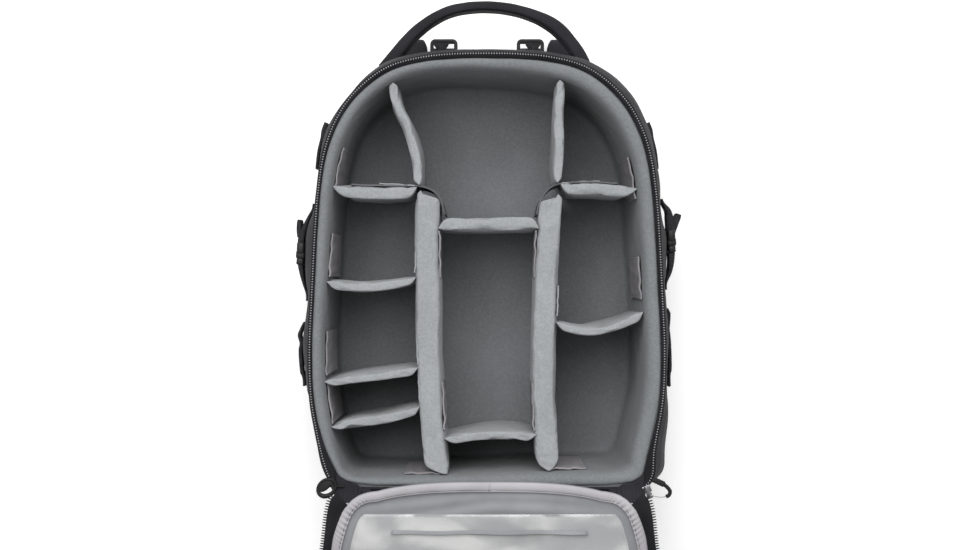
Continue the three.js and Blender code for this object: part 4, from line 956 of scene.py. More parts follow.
def dividers():
    left, right = plan_curve(LONG_LEFT), plan_curve(LONG_RIGHT)
    stops = [(left, LONG_PAD / 2 + 0.3 * MM), (right, LONG_PAD * 0.475 + 0.3 * MM)]
    pads = {
        "long_divider_left": padded_divider("long_divider_left_pad", LONG_LEFT, LONG_PAD, [], 31, ((4, 0.6, -4), (10, -0.9, 0))),
        "long_divider_right": padded_divider("long_divider_right_pad", LONG_RIGHT, LONG_PAD * 0.95, [], 36, ((4, -0.6, 4), (9, -0.1, 0))),
    }
    longs = list(stops)
    for k, (name, (shares, thick)) in enumerate(SHELVES.items()):
        pads[name] = padded_divider(name + "_pad", shares, thick * 0.93, longs, 50 + 5 * k, SHELF_ENDS.get(name, THIN_ENDS))
        stops.append((plan_curve(shares), thick / 2 + 0.3 * MM))
    for name, shares, seed, lean in (("upper_divider_left", UPPER_LEFT, 41, -0.4), ("upper_divider_right", UPPER_RIGHT, 46, 0.4)):
        pads[name] = padded_divider(name + "_pad", shares, THIN_PAD, stops, seed, ((3, 0, 0), (5, lean, 0)))
    swell_pads(list(pads.values()))
    for name, pad in pads.items():
        finish_piece(pad, LINING, [name])


# Hook tabs


def tab_sheet(name, plan_at, low, high, seed, slant=0.0, thick=1.5 * MM, loose=0.5 * MM):
    """A sewn tab that stands against a wall or a pad. plan_at(share, heights) gives its plan line and the way
    that its face looks. It creases by loose, most near the shelf, share 0, and its hemmed top edge falls by
    slant to the far end."""
    shares = np.linspace(0, 1, 44)
    climb = np.r_[np.linspace(0, 0.86, 22), np.linspace(0.88, 1, 12)]
    rows = []
    for s in shares:
        top = high - slant * s
        z = low + (top - low) * climb
        at, face = plan_at(s, z)
        waves = np.sin(s * 13 + seed + 1.5 * np.sin(climb * 5 + seed)) + 0.6 * np.sin(s * 23 + 2 * seed + 4 * climb)
        crease = loose * (1 + (1 - s) ** 0.5 * waves * climb**0.5)
        end = 0.5 * np.exp(-(((s - 0.07) / 0.02) ** 2)) + 0.5 * np.exp(-(((s - 0.93) / 0.02) ** 2))
        sewn = 0.45 * MM * np.maximum(end, np.exp(-(((climb - 0.945) / 0.014) ** 2)))
        front = at + face * (thick + crease - sewn)[..., None]
        back = at + face * crease[..., None]
        loop = np.vstack([in_body(front, z), in_body(back, z)[::-1]])
        rows.append(loop)
    tab = skin(name, np.stack(rows))
    return tab


def along_wall(start_up, side, away=4 * MM, length=TAB_LENGTH, direction=1):
    first = share_at(start_up, side) + side * direction * away / OUTLINE_LENGTH

    def at(s, z):
        u = first + side * direction * s * length / OUTLINE_LENGTH
        wall = edge_point(u, -liner_inset(z, u) - 0.7 * MM)
        face = -wall / np.linalg.norm(wall, axis=-1, keepdims=True)
        return wall, face

    return at


def along_hinge_wall(first, last):
    """A tab on the bottom wall, between two distances from the middle, in millimetres."""

    def at(s, z):
        u = (first + (last - first) * s) * MM / OUTLINE_LENGTH
        wall = edge_point(u, -liner_inset(z, u) - 0.7 * MM)
        return wall, np.broadcast_to([0.0, 1.0], wall.shape)

    return at


def along_plan(points, offset):
    """A tab on a pad's face: plan points in shares, and how far off that line it stands, to its right if positive."""
    curve = plan_curve(points, 200)

    def at(s, z):
        here = on_curve(curve, np.array(s))
        ahead = on_curve(curve, np.array(min(s + 0.02, 1))) - on_curve(curve, np.array(max(s - 0.02, 0)))
        ahead /= np.linalg.norm(ahead)
        face = np.array([ahead[1], -ahead[0]]) * math.copysign(1, offset)
        here = here + face * abs(offset)
        return np.broadcast_to(here, (len(z), 2)), np.broadcast_to(face, (len(z), 2))

    return at


def hook_tabs():
    high, low = DIVIDER_TOP - 3 * MM, DIVIDER_TOP - TAB_HEIGHT
    seat = LONG_PAD / 2 + 0.2 * MM
    reach = TAB_LENGTH / HALF_HEIGHT
    walls = [
        ("tab_left_shelf_1", 0.385, -1, 3 * MM), ("tab_left_shelf_2", -0.045, -1, 9 * MM),
        ("tab_left_shelf_3", -0.535, -1, 6 * MM), ("tab_left_shelf_4", -0.77, -1, 6 * MM),
        ("tab_right_shelf_1", 0.35, 1, 4 * MM), ("tab_right_shelf_2", -0.16, 1, 6 * MM),
    ]
    for k, (name, up, side, slant) in enumerate(walls):
        tab = tab_sheet(name + "_cloth", along_wall(up, side), low, high, k, slant)
        finish_piece(tab, TAB_CLOTH, [name])
    faces = [
        ("tab_centre_shelf_1_left", [(-0.339, 0.19), (-0.337, 0.19 - reach)], -seat),
        ("tab_centre_shelf_1_right", [(0.347, 0.19), (0.338, 0.19 - reach)], seat),
        ("tab_centre_shelf_2_left", [(-0.309, -0.73), (-0.323, -0.73 + reach)], seat),
        ("tab_centre_shelf_2_right", [(0.336, -0.73), (0.328, -0.73 + reach)], -seat),
    ]
    for k, (name, plan, offset) in enumerate(faces):
        tab = tab_sheet(name + "_cloth", along_plan(plan, offset), low, high, k + 10, 6 * MM)
        finish_piece(tab, TAB_CLOTH, [name])
    thin = [
        ("tab_thin_left_2", [(-0.34, -0.005), (-0.336, 0.14)], -seat), ("tab_thin_left_3", [(-0.325, -0.425), (-0.332, -0.28)], -seat),
        ("tab_thin_left_4", [(-0.313, -0.6), (-0.322, -0.47)], -seat), ("tab_thin_right_2", [(0.33, -0.2), (0.337, -0.06)], seat),
        ("tab_upper_left", [(-0.41, 0.402), (-0.5, 0.409), (-0.61, 0.413)], -0.3 * MM),
        ("tab_upper_right", [(0.425, 0.413), (0.52, 0.421), (0.64, 0.424)], 0.3 * MM),
    ]
    for k, (name, plan, offset) in enumerate(thin):
        tab = tab_sheet(name, along_plan(plan, offset), low, high + 1 * MM, k + 20, 3 * MM, 1.2 * MM, 0.25 * MM)
        finish_piece(tab, LINING, ())
    corners = [
        ("tab_corner_left", [(-0.77, 0.398), (-0.6, 0.392), (-0.463, 0.392), (-0.378, 0.39), (-0.31, 0.369), (-0.262, 0.318), (-0.245, 0.262)], 1),
        ("tab_corner_right", [(0.74, 0.404), (0.6, 0.408), (0.47, 0.407), (0.385, 0.395), (0.335, 0.36), (0.3, 0.31), (0.288, 0.262)], -1),
    ]
    for k, (name, plan, turn) in enumerate(corners):
        tab = tab_sheet(name, along_plan(plan, -turn * 0.1 * MM), low, high + 1.5 * MM, k + 30, 2 * MM, 1.4 * MM, 0.2 * MM)
        finish_piece(tab, TAB_DARK, ())
    for k, (name, first, last) in enumerate((("tab_bottom_left", -44, -80), ("tab_bottom_right", 62, 98))):
        tab = tab_sheet(name, along_hinge_wall(first, last), low, high, k + 40, 2 * MM)
        finish_piece(tab, TAB_CLOTH, ())


# Front panel


def panel_curve():
    """The line that the panel lies along, from the rim to the floor, and its length at each point."""
    hinge_z = RIM_Z + 8.4 * MM
    reach = PANEL_LENGTH
    t = np.linspace(0, 1, 1500)[:, None]
    for _ in range(8):
        end = -HALF_HEIGHT - reach
        a, b = np.array([-HALF_HEIGHT, hinge_z]), np.array([-HALF_HEIGHT - reach * 0.36, hinge_z - BODY_DEPTH * 0.12])
        c, d = np.array([end + reach * 0.4, PANEL_DEPTH]), np.array([end, PANEL_DEPTH])
        line = (1 - t) ** 3 * a + 3 * (1 - t) ** 2 * t * b + 3 * (1 - t) * t**2 * c + t**3 * d
        length = np.r_[0, np.cumsum(np.linalg.norm(np.diff(line, axis=0), axis=1))]
        reach *= PANEL_LENGTH / length[-1]
    return line, length


PANEL_LINE, PANEL_RUN = panel_curve()
PANEL_WAY = np.gradient(PANEL_LINE, axis=0)
PANEL_WAY /= np.linalg.norm(PANEL_WAY, axis=1, keepdims=True)


PANEL_SIDE = 138 * MM


def on_panel(x, v, h):
    """Points of the panel drawn flat, x across, v from the hinge edge and h up from its lining, as they lie. Near
    the hinge its edges past PANEL_SIDE are drawn in."""
    x, v, h = np.broadcast_arrays(x, v, h)
    past_side = np.maximum(np.abs(x) - PANEL_SIDE, 0)
    x = x - np.sign(x) * past_side * 0.42 * np.exp(-(((v - 40 * MM) / (48 * MM)) ** 2))
    s = np.clip(v, 0, PANEL_RUN[-1])
    y, z = (np.interp(s, PANEL_RUN, PANEL_LINE[:, k]) for k in range(2))
    way_y, way_z = (np.interp(s, PANEL_RUN, PANEL_WAY[:, k]) for k in range(2))
    past = v - s
    place = np.stack([x, y + way_y * past + way_z * h, z + way_z * past - way_y * h], -1)
    return place + np.array([CENTRE[0] + PANEL_ASIDE, CENTRE[1], 0])


def lining_point(u, inset):
    """The lining's outline on the flat panel: (x, v)."""
    p = edge_point(u, 0)
    x = p[..., 0] * (1 - (PANEL_INSET + inset) / HALF_WIDTH)
    far = HALF_HEIGHT + p[..., 1] * (1 - (PANEL_INSET + inset) / HALF_HEIGHT)
    past = PANEL_OVERLAP * np.maximum(0, 1 - np.abs(x / PANEL_CORNER) ** 3)
    cut = 11 * MM * np.exp(-(((np.abs(x) - 133 * MM) / (18 * MM)) ** 2))
    cut *= smooth_step((-p[..., 1] / HALF_HEIGHT - 0.35) / 0.4)
    near = HALF_HEIGHT + p[..., 1] * (1 - inset / HALF_HEIGHT) - past + cut
    return x, np.where(p[..., 1] > 0, far, near)


GATHER_AT = 0.116


def corner_share(u, spread=0.03):
    """1 at the two corners of the hinge edge, where the trim is gathered, falling to 0 along the edges."""
    u = np.mod(u, 1)
    return np.exp(-(((np.minimum(u, 1 - u) - GATHER_AT) / spread) ** 2))


def bent(rings):
    """Rings of flat panel points (x, v, h) as a grid in the frame."""
    return on_panel(*np.moveaxis(np.asarray(rings), -1, 0))


def to_middle(ring, shares):
    """A flat ring drawn in to the middle of the panel."""
    middle = np.array([0, HALF_HEIGHT, ring[:, 2].mean()])
    return [middle + (ring - middle) * share for share in shares]


def tray_ring(out, h, clear):
    """A ring of the outer pocket: distance out of the zip line, height off the lining, distance kept from the hinge."""
    p = edge_point(np.arange(AROUND) / AROUND, out * MM)
    v = p[:, 1] + HALF_HEIGHT
    free = smooth_step((v - HINGE_CLEAR - clear * MM) / (14 * MM))
    under = min(h * MM, -PANEL_LINING - 1.2 * MM)
    return np.stack([p[:, 0], np.maximum(v, HINGE_CLEAR + clear * MM), under + (h * MM - under) * free], -1)


def panel_shell():
    deep = -PANEL_DEPTH / MM
    outside = [
        tray_ring(-30, deep, 16), tray_ring(-22, deep, 11), tray_ring(-16, deep, 8), tray_ring(-12, deep + 0.6, 5),
        tray_ring(-9, deep + 2, 3), tray_ring(-6.2, deep + 5, 1.5), tray_ring(-4, deep + 9, 0), tray_ring(-3.8, -13, 0),
        tray_ring(-3.4, -10, 0), tray_ring(-2.8, -6, 0), tray_ring(-2, -3, 0), tray_ring(-1, 1, 0), tray_ring(0, 5, 0),
    ]
    inside = [tray_ring(-1.6, 5, 2), tray_ring(-4.6, 0, 3), tray_ring(-6, -7.2, 3)]
    bottom = to_middle(outside[0], [0.05, 0.2, 0.4, 0.6, 0.8, 0.92])
    lid = to_middle(inside[-1], [0.97, 0.8, 0.6, 0.4, 0.2, 0.05])
    rings = np.stack([*bottom, *outside, *inside, *lid])
    outer = np.arange(len(rings))[:, None] < len(bottom) + 11
    rings[..., 2] += np.where(outer, 0.9 * MM * ripple(rings, 0.08, 61) + 0.4 * MM * ripple(rings, 0.025, 62), 0)
    return finish_piece(skin("panel_shell_cloth", bent(rings)), NYLON, ["panel_shell"])


def lining_ring(inset, h):
    x, v = lining_point(np.arange(AROUND) / AROUND, inset * MM)
    return np.stack([x, v, np.full(AROUND, h * MM)], -1)


def panel_lining():
    under = PANEL_LINING / MM
    rim = [lining_ring(3, -under), lining_ring(0.6, -under + 0.8), lining_ring(0, -under / 2), lining_ring(0.6, -0.7), lining_ring(3, 0)]
    top = to_middle(lining_ring(8, 0), [*np.linspace(1, 0.8, 16), *np.linspace(0.78, 0.06, 20)])
    bottom = to_middle(rim[0], [0.05, 0.3, 0.6, 0.85])
    rings = np.stack([*bottom, *rim, *top])
    upper = np.arange(len(rings))[:, None] >= len(bottom) + 4
    x, v = rings[..., 0], rings[..., 1]
    near = np.exp(-(((v - 16 * MM) / (13 * MM)) ** 2)) * smooth_step(1.25 - np.abs(x) / (130 * MM))
    pleats = 0.8 * MM * np.sin((v - 0.1 * np.abs(x) + 4 * MM * np.sin(x * 19)) * 2 * math.pi / (13 * MM)) * near
    rings[..., 2] += np.where(upper, pleats - 0.7 * MM + 0.4 * MM * ripple(rings, 0.06, 63), 0)
    return finish_piece(skin("panel_lining_cloth", bent(rings)), FLAP_LINING, ["panel_lining"])


def panel_binding():
    """The lining's bound edge: a soft roll, gathered into small folds at the corners, joined at the middle."""
    u = np.arange(2400) / 2400
    section = [
        (0.2, 0.35), (-0.5, 1.2), (-0.1, 2.6), (1.2, 3.4), (3.0, 3.7), (4.9, 3.5), (6.1, 3.0), (6.7, 2.5), (7.3, 2.6),
        (8.1, 2.2), (8.6, 1.2), (8.4, 0.35),
    ]
    gather = corner_share(u, 0.015)
    folds = np.sin(u * OUTLINE_LENGTH / (4.4 * MM) * 2 * math.pi + 2.4 * np.sin(u * 70) + 1.3 * np.sin(u * 210))
    pucker = (0.04 + 0.75 * gather) * folds
    seam = np.exp(-(((np.mod(u + 0.5, 1) - 0.5) * OUTLINE_LENGTH / (1.0 * MM)) ** 2))
    overlap = smooth_step((np.mod(u + 0.5, 1) - 0.5) * OUTLINE_LENGTH / MM) * np.exp(-np.mod(u, 1) * OUTLINE_LENGTH / (20 * MM))
    columns = []
    for inset, h in section:
        raised = max(h - 0.6, 0) / 3
        inner = smooth_step(inset / 8)
        x, v = lining_point(u, (inset + 0.9 * pucker * raised * inner) * MM)
        lift = (h + ((0.1 + 0.75 * inner) * pucker + 0.5 * overlap - 0.9 * seam) * raised) * MM
        columns.append(on_panel(x, v, lift))
    grid = np.stack(columns, 1)
    grid += 0.25 * MM * ripple(grid, 0.03, 64)[..., None] * np.array([0, 0, 1])
    piece = finish_piece(skin("panel_binding_cloth", grid, wrap_rows=True), BINDING, ["panel_binding"])
    guides = []
    x, v = lining_point(np.linspace(0.001, 0.999, 1500), 6.7 * MM)
    guides.append(surface_guide(on_panel(x, v, 2.6 * MM), (0, 0, 1)))
    row_along("panel_binding_stitches", guides, 2.5 * MM, (0.7 * MM, 2.1 * MM, 0.4 * MM), THREAD_DARK)
    return piece


def panel_zip():
    """The black band between the lining's edge and the panel's zip teeth."""
    rise = (GUSSET_RISE + 0.4 * MM) / MM
    rows = []
    for out, z in ((2.5, rise), (2.5, rise + 1.2), (0.8, rise + 1.8), (-1.6, rise + 1.9), (-3.2, rise + 1.5)):
        p = edge_point(ZIP_SHARES, out * MM)
        rows.append(on_panel(p[:, 0], p[:, 1] + HALF_HEIGHT, z * MM))
    outer = edge_point(ZIP_SHARES, -3.9 * MM)
    inner = np.stack(lining_point(ZIP_SHARES, 2 * MM), -1)
    for share in (0, 0.25, 0.5, 0.75, 1):
        x = outer[:, 0] * (1 - share) + inner[:, 0] * share
        v = (outer[:, 1] + HALF_HEIGHT) * (1 - share) + inner[:, 1] * share
        h = (rise + 1.2) * (1 - share) ** 1.5 + 2.2 * (1 - (1 - share) ** 1.5)
        rows.append(on_panel(x, v, h * MM))
    rows.append(on_panel(inner[:, 0], inner[:, 1], 0.6 * MM))
    p = edge_point(ZIP_SHARES, -3.9 * MM)
    rows.append(on_panel(p[:, 0], p[:, 1] + HALF_HEIGHT, rise * MM))
    grid = np.stack(rows, 1)
    piece = finish_piece(skin("panel_zip_tape_cloth", grid), TAPE, ["panel_zip_tape"])
    p = edge_point(np.linspace(ZIP_SHARES[0] + 0.008, ZIP_SHARES[-1] - 0.004, 700), 3.5 * MM)
    path = on_panel(p[:, 0], p[:, 1] + HALF_HEIGHT, (rise + 0.9) * MM)
    row_along("panel_zip_teeth", [surface_guide(path, (0, 0, 1))], 2.5 * MM, (5.2 * MM, 1.3 * MM, 1.6 * MM), COMB)
    return piece


def panel_window():
    """Clear vinyl over the upper part of the lining, held by a hem line across the panel near the hinge."""
    low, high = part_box("panel_window")
    y = PANEL_LINE[:, 0] + CENTRE[1]
    near, far = (np.interp(-edge, -y, PANEL_RUN) for edge in (high.y, low.y))
    half = ZIP_LINE[: len(ZIP_LINE) // 2]
    x_edge, v_edge = lining_point(np.arange(len(half)) / len(ZIP_LINE), (BINDING_WIDTH + 5 * MM))
    v = np.linspace(near, far, 60)
    order = np.argsort(v_edge)
    reach = np.interp(v, v_edge[order], x_edge[order])
    across = np.linspace(-1, 1, 44)
    rows = []
    for k, here in enumerate(v):
        x = across * reach[k]
        flat = np.stack([x, np.full(44, here), np.zeros(44)], -1)
        lift = (1.3 + 0.7 * ripple(flat, 0.07, 71)) * (1 - np.abs(across) ** 6) * MM
        top = on_panel(x, here, 0.9 * MM + lift)
        under = on_panel(x, here, 0.4 * MM + lift)
        rows.append(np.vstack([top, under[::-1]]))
    film = finish_piece(skin("panel_window_film", np.stack(rows)), VINYL, ["panel_window"])
    hem_v = 37 * MM
    s = np.linspace(-1, 1, 60)
    hem = on_panel(s * 86 * MM, hem_v + 0.4 * MM * np.sin(s * 9), 2.9 * MM)
    strip = sweep("window_hem_tape", hem, (0, 1, -0.2), rounded(3.4 * MM, 0.9 * MM, 0.4 * MM))
    finish_piece(strip, FLAP_LINING, ["window_hem"])
    line = hem + [0, -1.5 * MM, 0.4 * MM]
    row_along("window_hem_stitches", [surface_guide(line, (0, 0, 1))], 2.2 * MM, (0.6 * MM, 2.1 * MM, 0.4 * MM), THREAD_DARK)
    return film


def hinge_fabric():
    under = -PANEL_LINING - 1.4 * MM
    half = np.linspace(-118, 118, 120) * MM
    first = np.stack([half, np.full(120, -HALF_HEIGHT + 1.2 * MM), np.full(120, RIM_Z + 1.0 * MM)], -1)
    rows = [first + np.array([CENTRE[0], CENTRE[1], 0])]
    for v in np.linspace(4, HINGE_CLEAR / MM - 1, 14) * MM:
        rows.append(on_panel(half, v, under - 0.4 * MM * math.sin(v * 300)))
    top = np.stack(rows)
    top[..., 2] += 0.3 * MM * ripple(top, 0.03, 73)
    loops = np.concatenate([top + [0, 0, 0.5 * MM], (top - [0, 0, 0.5 * MM])[:, ::-1]], 1)
    piece = skin("hinge_fabric_cloth", loops)
    finish_piece(piece, NYLON, ["hinge_fabric"])
    return piece


def corner_gussets():
    """Small folded wedges of black ribbed cloth between the two zip ends, at each side of the hinge."""
    for word, side in (("left", -1), ("right", 1)):
        s = np.linspace(0, 1, 40)
        share = ZIP_SHARES[0] - 0.0165 + 0.0235 * s
        inner = smooth_step(s / 0.3)
        body = edge_point(share, -2.2 * MM - 3.4 * MM * inner) * [side, 1]
        body = in_body(body, TAPE_Z + 0.4 * MM + 1.5 * MM * inner)
        p = edge_point(share, 2.5 * MM * (1 - s) - 0.5 * MM)
        tuck = 10 * MM * (1 - smooth_step((s - 0.72) / 0.28))
        panel = on_panel(p[:, 0] * side, p[:, 1] + HALF_HEIGHT + tuck, (0.8 + 3.4 * s) * MM)
        rows = []
        for t in np.linspace(0, 1, 20):
            line = body * (1 - t) + panel * t
            line[:, 2] -= 2.2 * MM * math.sin(math.pi * t)
            line[:, 2] += 0.35 * MM * np.sin(s * 46) * math.sin(math.pi * t) ** 0.5
            rows.append(line)
        sheet = np.stack(rows)
        loops = np.concatenate([sheet + [0, 0, 0.5 * MM], (sheet - [0, 0, 0.5 * MM])[:, ::-1]], 1)
        gusset = finish_piece(skin("corner_gusset_" + word, loops), NYLON, ())


# Carry handle and what stands on the side walls

HANDLE_Z = BACK_Z + BODY_DEPTH * 0.42
SIDE_Z = BACK_Z + BODY_DEPTH * 0.55


def beside(up, out, side):
    """A point at the middle of the side wall's depth, out millimetres beyond the zip line."""
    p = edge_point(share_at(up, side), out * MM)
    return np.array([p[0] + CENTRE[0], p[1] + CENTRE[1], SIDE_Z])


def side_band(name, rows, side, width, count):
    """Webbing along a side wall through rows of (share of half the height, distance out, thickness)."""
    path = spline([beside(up, out, side) for up, out, _ in rows], count)
    run = np.linalg.norm(path - path[0], axis=1)
    at = [np.linalg.norm(beside(up, out, side) - path[0]) for up, out, _ in rows]
    thick = np.interp(run, at, [row[2] for row in rows])
    section = rounded(width, 1.8 * MM, 0.8 * MM)
    return sweep(name, path, (0, 0, 1), section, np.stack([np.ones(count), thick / 1.8], 1))


def handle():
    half, thick, rise = 90 * MM, 8.6 * MM, 52.6 * MM
    foot = HALF_HEIGHT - 1.5 * MM
    bow = [
        (-1.048, -0.1), (-1, 0), (-0.86, 0.3), (-0.74, 0.53), (-0.585, 0.74), (-0.4, 0.905), (-0.215, 0.98), (0, 1),
        (0.245, 0.957), (0.447, 0.863), (0.6, 0.747), (0.71, 0.624), (0.826, 0.42), (0.925, 0.19), (0.972, 0.03), (0.99, -0.08),
    ]
    plan = spline([(x * half, foot + y * rise) for x, y in bow], 220)
    s = np.linspace(-1, 1, 220)
    path = in_body(plan, HANDLE_Z + 0.4 * MM * np.sin(s * 14))
    shoulder = np.exp(-(((s - 0.6) / 0.16) ** 2))
    scale = np.stack([np.ones(220), 1 + 0.45 * np.abs(s) ** 1.8 + 0.22 * shoulder + 0.012 * np.sin(s * 40)], 1)
    section = rounded(28 * MM, thick, 3.4 * MM, 6, 6)
    pad = sweep("handle_pad", path, (0, 0, 1), section, scale)
    finish_piece(pad, NYLON, ["handle"])
    _, _, way = frames_on(path, (0, 0, 1))
    guides = []
    for off in (-2.4, 2.4):
        line = path + way * off * MM * scale[:, 1:] + [0, 0, 13.9 * MM]
        guides.append(surface_guide(line[6:-6], (0, 0, 1)))
    row_along("handle_stitches", guides, 3.2 * MM, (0.6 * MM, 2.3 * MM, 0.5 * MM), THREAD_BLACK)


SIDE_STRAPS = {
    "left": [
        (0.31, 7.6, 1.8), (0.285, 8, 1.8), (0.24, 11.6, 2.4), (0.198, 14.4, 4), (0.152, 17, 5.4), (0.09, 17, 5.4),
        (0.029, 16.4, 4.4), (-0.04, 13.2, 2.4), (-0.099, 9.2, 1.8), (-0.13, 8.8, 1.8),
    ],
    "right": [
        (0.33, 8.8, 1.8), (0.305, 10.6, 2.2), (0.27, 14.4, 4.4), (0.235, 15.4, 6.4), (0.19, 15.6, 6.8), (0.1, 15.4, 6),
        (0.04, 14.4, 4.6), (0.0, 12.6, 3.4), (-0.05, 8.6, 1.8), (-0.08, 8.2, 1.8),
    ],
}
SIDE_TAILS = {
    "left": [(0.15, 19, 3.4), (0.18, 19.8, 4), (0.213, 19.8, 4.2), (0.224, 19.8, 3)],
    "right": [(0.17, 17.6, 4), (0.2, 19.6, 5.6), (0.232, 22.8, 5.8), (0.243, 24, 4.6)],
}
SIDE_TABS = [(0.665, 11, 4), (0.63, 11, 3.6), (0.6, 10.2, 2.6), (0.54, 9.8, 2.4), (0.475, 8.8, 2.2), (0.465, 8.7, 2)]
SIDE_LOOPS = {
    "left": [
        (-0.225, 10.4, 1.8), (-0.25, 12.6, 2.6), (-0.275, 14.4, 3), (-0.317, 12.6, 2.4), (-0.34, 13.2, 3), (-0.4, 12.6, 3.2),
        (-0.45, 11.6, 3), (-0.462, 10.6, 2.4), (-0.505, 9.9, 2.6), (-0.511, 9.8, 2),
    ],
    "right": [
        (-0.165, 8.8, 1.8), (-0.185, 10.2, 2.4), (-0.215, 9.8, 2.6), (-0.26, 9, 1.8), (-0.275, 9.2, 2.2), (-0.33, 9.6, 2.6),
        (-0.44, 10, 2.6), (-0.458, 9.4, 2), (-0.505, 9.6, 2.4), (-0.515, 9.4, 1.8),
    ],
}
BUCKLE_AT = {"left": (0.078, 16.6), "right": (0.133, 15.4)}
WEBBING_WIDTH = 25 * MM


def side_strap(word, side):
    """A compression strap: webbing bowed out under a side-release buckle, with a folded free tail."""
    strap = side_band("side_strap_webbing_" + word, SIDE_STRAPS[word], side, WEBBING_WIDTH, 110)
    finish_piece(strap, WEBBING, ["side_strap_" + word])
    tail = side_band("side_tail_webbing_" + word, SIDE_TAILS[word], side, WEBBING_WIDTH * 0.92, 44)
    finish_piece(tail, WEBBING, ["side_tail_" + word])
    up, out = BUCKLE_AT[word]
    at, low = beside(up, out, side), beside(up - 0.04, out, side)
    turn = -math.atan2(at[0] - low[0], at[1] - low[1])
    parts = [
        block("b", (7 * MM, 11 * MM, 33 * MM), (0, 5.4 * MM, 0), bevel=1.8 * MM),
        block("b", (6 * MM, 5 * MM, 31 * MM), (0, -2 * MM, 0), bevel=1.5 * MM),
        block("b", (6.6 * MM, 7 * MM, 29 * MM), (0, -6.4 * MM, 0), bevel=1.6 * MM),
        block("b", (8 * MM, 7 * MM, 5 * MM), (0, -0.5 * MM, 13.2 * MM), bevel=1.4 * MM),
        block("b", (8 * MM, 7 * MM, 5 * MM), (0, -0.5 * MM, -13.2 * MM), bevel=1.4 * MM),
        block("b", (7.8 * MM, 1.8 * MM, 24 * MM), (0, 8.4 * MM, 0), bevel=0.7 * MM),
        block("b", (7.6 * MM, 1.8 * MM, 22 * MM), (0, -8.2 * MM, 0), bevel=0.7 * MM),
    ]
    buckle = move(join("side_buckle_body_" + word, parts), at, turn)
    finish_piece(buckle, PLASTIC, ["side_buckle_" + word])


def side_tab(word, side):
    """The short padded tab by the top corner."""
    tab = side_band("side_tab_webbing_" + word, SIDE_TABS, side, 26 * MM, 80)
    finish_piece(tab, WEBBING, ["side_tab_" + word])


def side_loops(word, side):
    """A ladder of three webbing loops, tacked down between them."""
    rows = SIDE_LOOPS[word]
    loops = side_band("side_loops_webbing_" + word, rows, side, 20 * MM, 130)
    finish_piece(loops, WEBBING, ["side_loops_" + word])
    tacks = []
    for up, out, thick in (rows[1], rows[3], rows[7], rows[8]):
        here = beside(up, out + thick / 2, side)
        line = np.linspace(here - [0, 0, 8.6 * MM], here + [0, 0, 8.6 * MM], 12)
        tacks.append(surface_guide(line, (side, 0, 0)))
    row_along("side_loops_tacks_" + word, tacks, 1.5 * MM, (1.6 * MM, 1.0 * MM, 0.6 * MM), THREAD_BLACK)


# Harness under the bag

STRAP_WIDTH, STRAP_THICKNESS, STRAP_APART = 52 * MM, 11.6 * MM, 164 * MM
STRAP_END_Y = -132 * MM


def shoulder_strap(word, side):
    """A padded strap: sewn to the back, folded over past the top edge and laid flat under the bag."""
    x, out = side * STRAP_APART / 2, side * 16 * MM
    root_z, lie_z = BACK_Z - 0.4 * MM - STRAP_THICKNESS / 2, STRAP_THICKNESS / 2
    radius, middle = (root_z - lie_z) / 2, (root_z + lie_z) / 2
    fold_y = HALF_HEIGHT + BULGE + 6 * MM
    points = [(x, y, root_z) for y in (HALF_HEIGHT * 0.78, HALF_HEIGHT * 0.92, fold_y - 1 * MM)]
    for degrees in (60, 30, 0, -30, -60):
        a = math.radians(degrees)
        points.append((x, fold_y + radius * math.cos(a), middle + radius * math.sin(a)))
    lower = [(0, fold_y - 1 * MM), (0, 0.88 * HALF_HEIGHT), (0.6, 0.6 * HALF_HEIGHT), (1, 0.25 * HALF_HEIGHT)]
    lower += [(0.8, -0.15 * HALF_HEIGHT), (0, -0.45 * HALF_HEIGHT), (-0.3, STRAP_END_Y)]
    points += [(x + out * share, y, lie_z) for share, y in lower]
    path = spline(points, 260) + np.array([CENTRE[0], CENTRE[1], 0])
    s = np.linspace(0, 1, 260)
    fit = np.minimum(1, 0.9 + 0.1 * np.sin(s * 60) ** 2)
    wide = (0.6 + 0.4 * smooth_step((s - 0.22) / 0.22)) * (1 - 0.28 * smooth_step((s - 0.86) / 0.1))
    path[:, 0] -= side * 10 * MM * (1 - smooth_step((s - 0.22) / 0.22))
    wide *= 1 - 0.2 * np.exp(-(((s - s[path[:, 1].argmax()]) / 0.014) ** 2))
    strap = sweep("shoulder_strap_pad_" + word, path, (1, 0, 0), rounded(STRAP_WIDTH, STRAP_THICKNESS, 4.6 * MM, 6, 8), np.stack([wide, fit], 1))
    finish_piece(strap, NYLON, ["shoulder_strap_" + word])


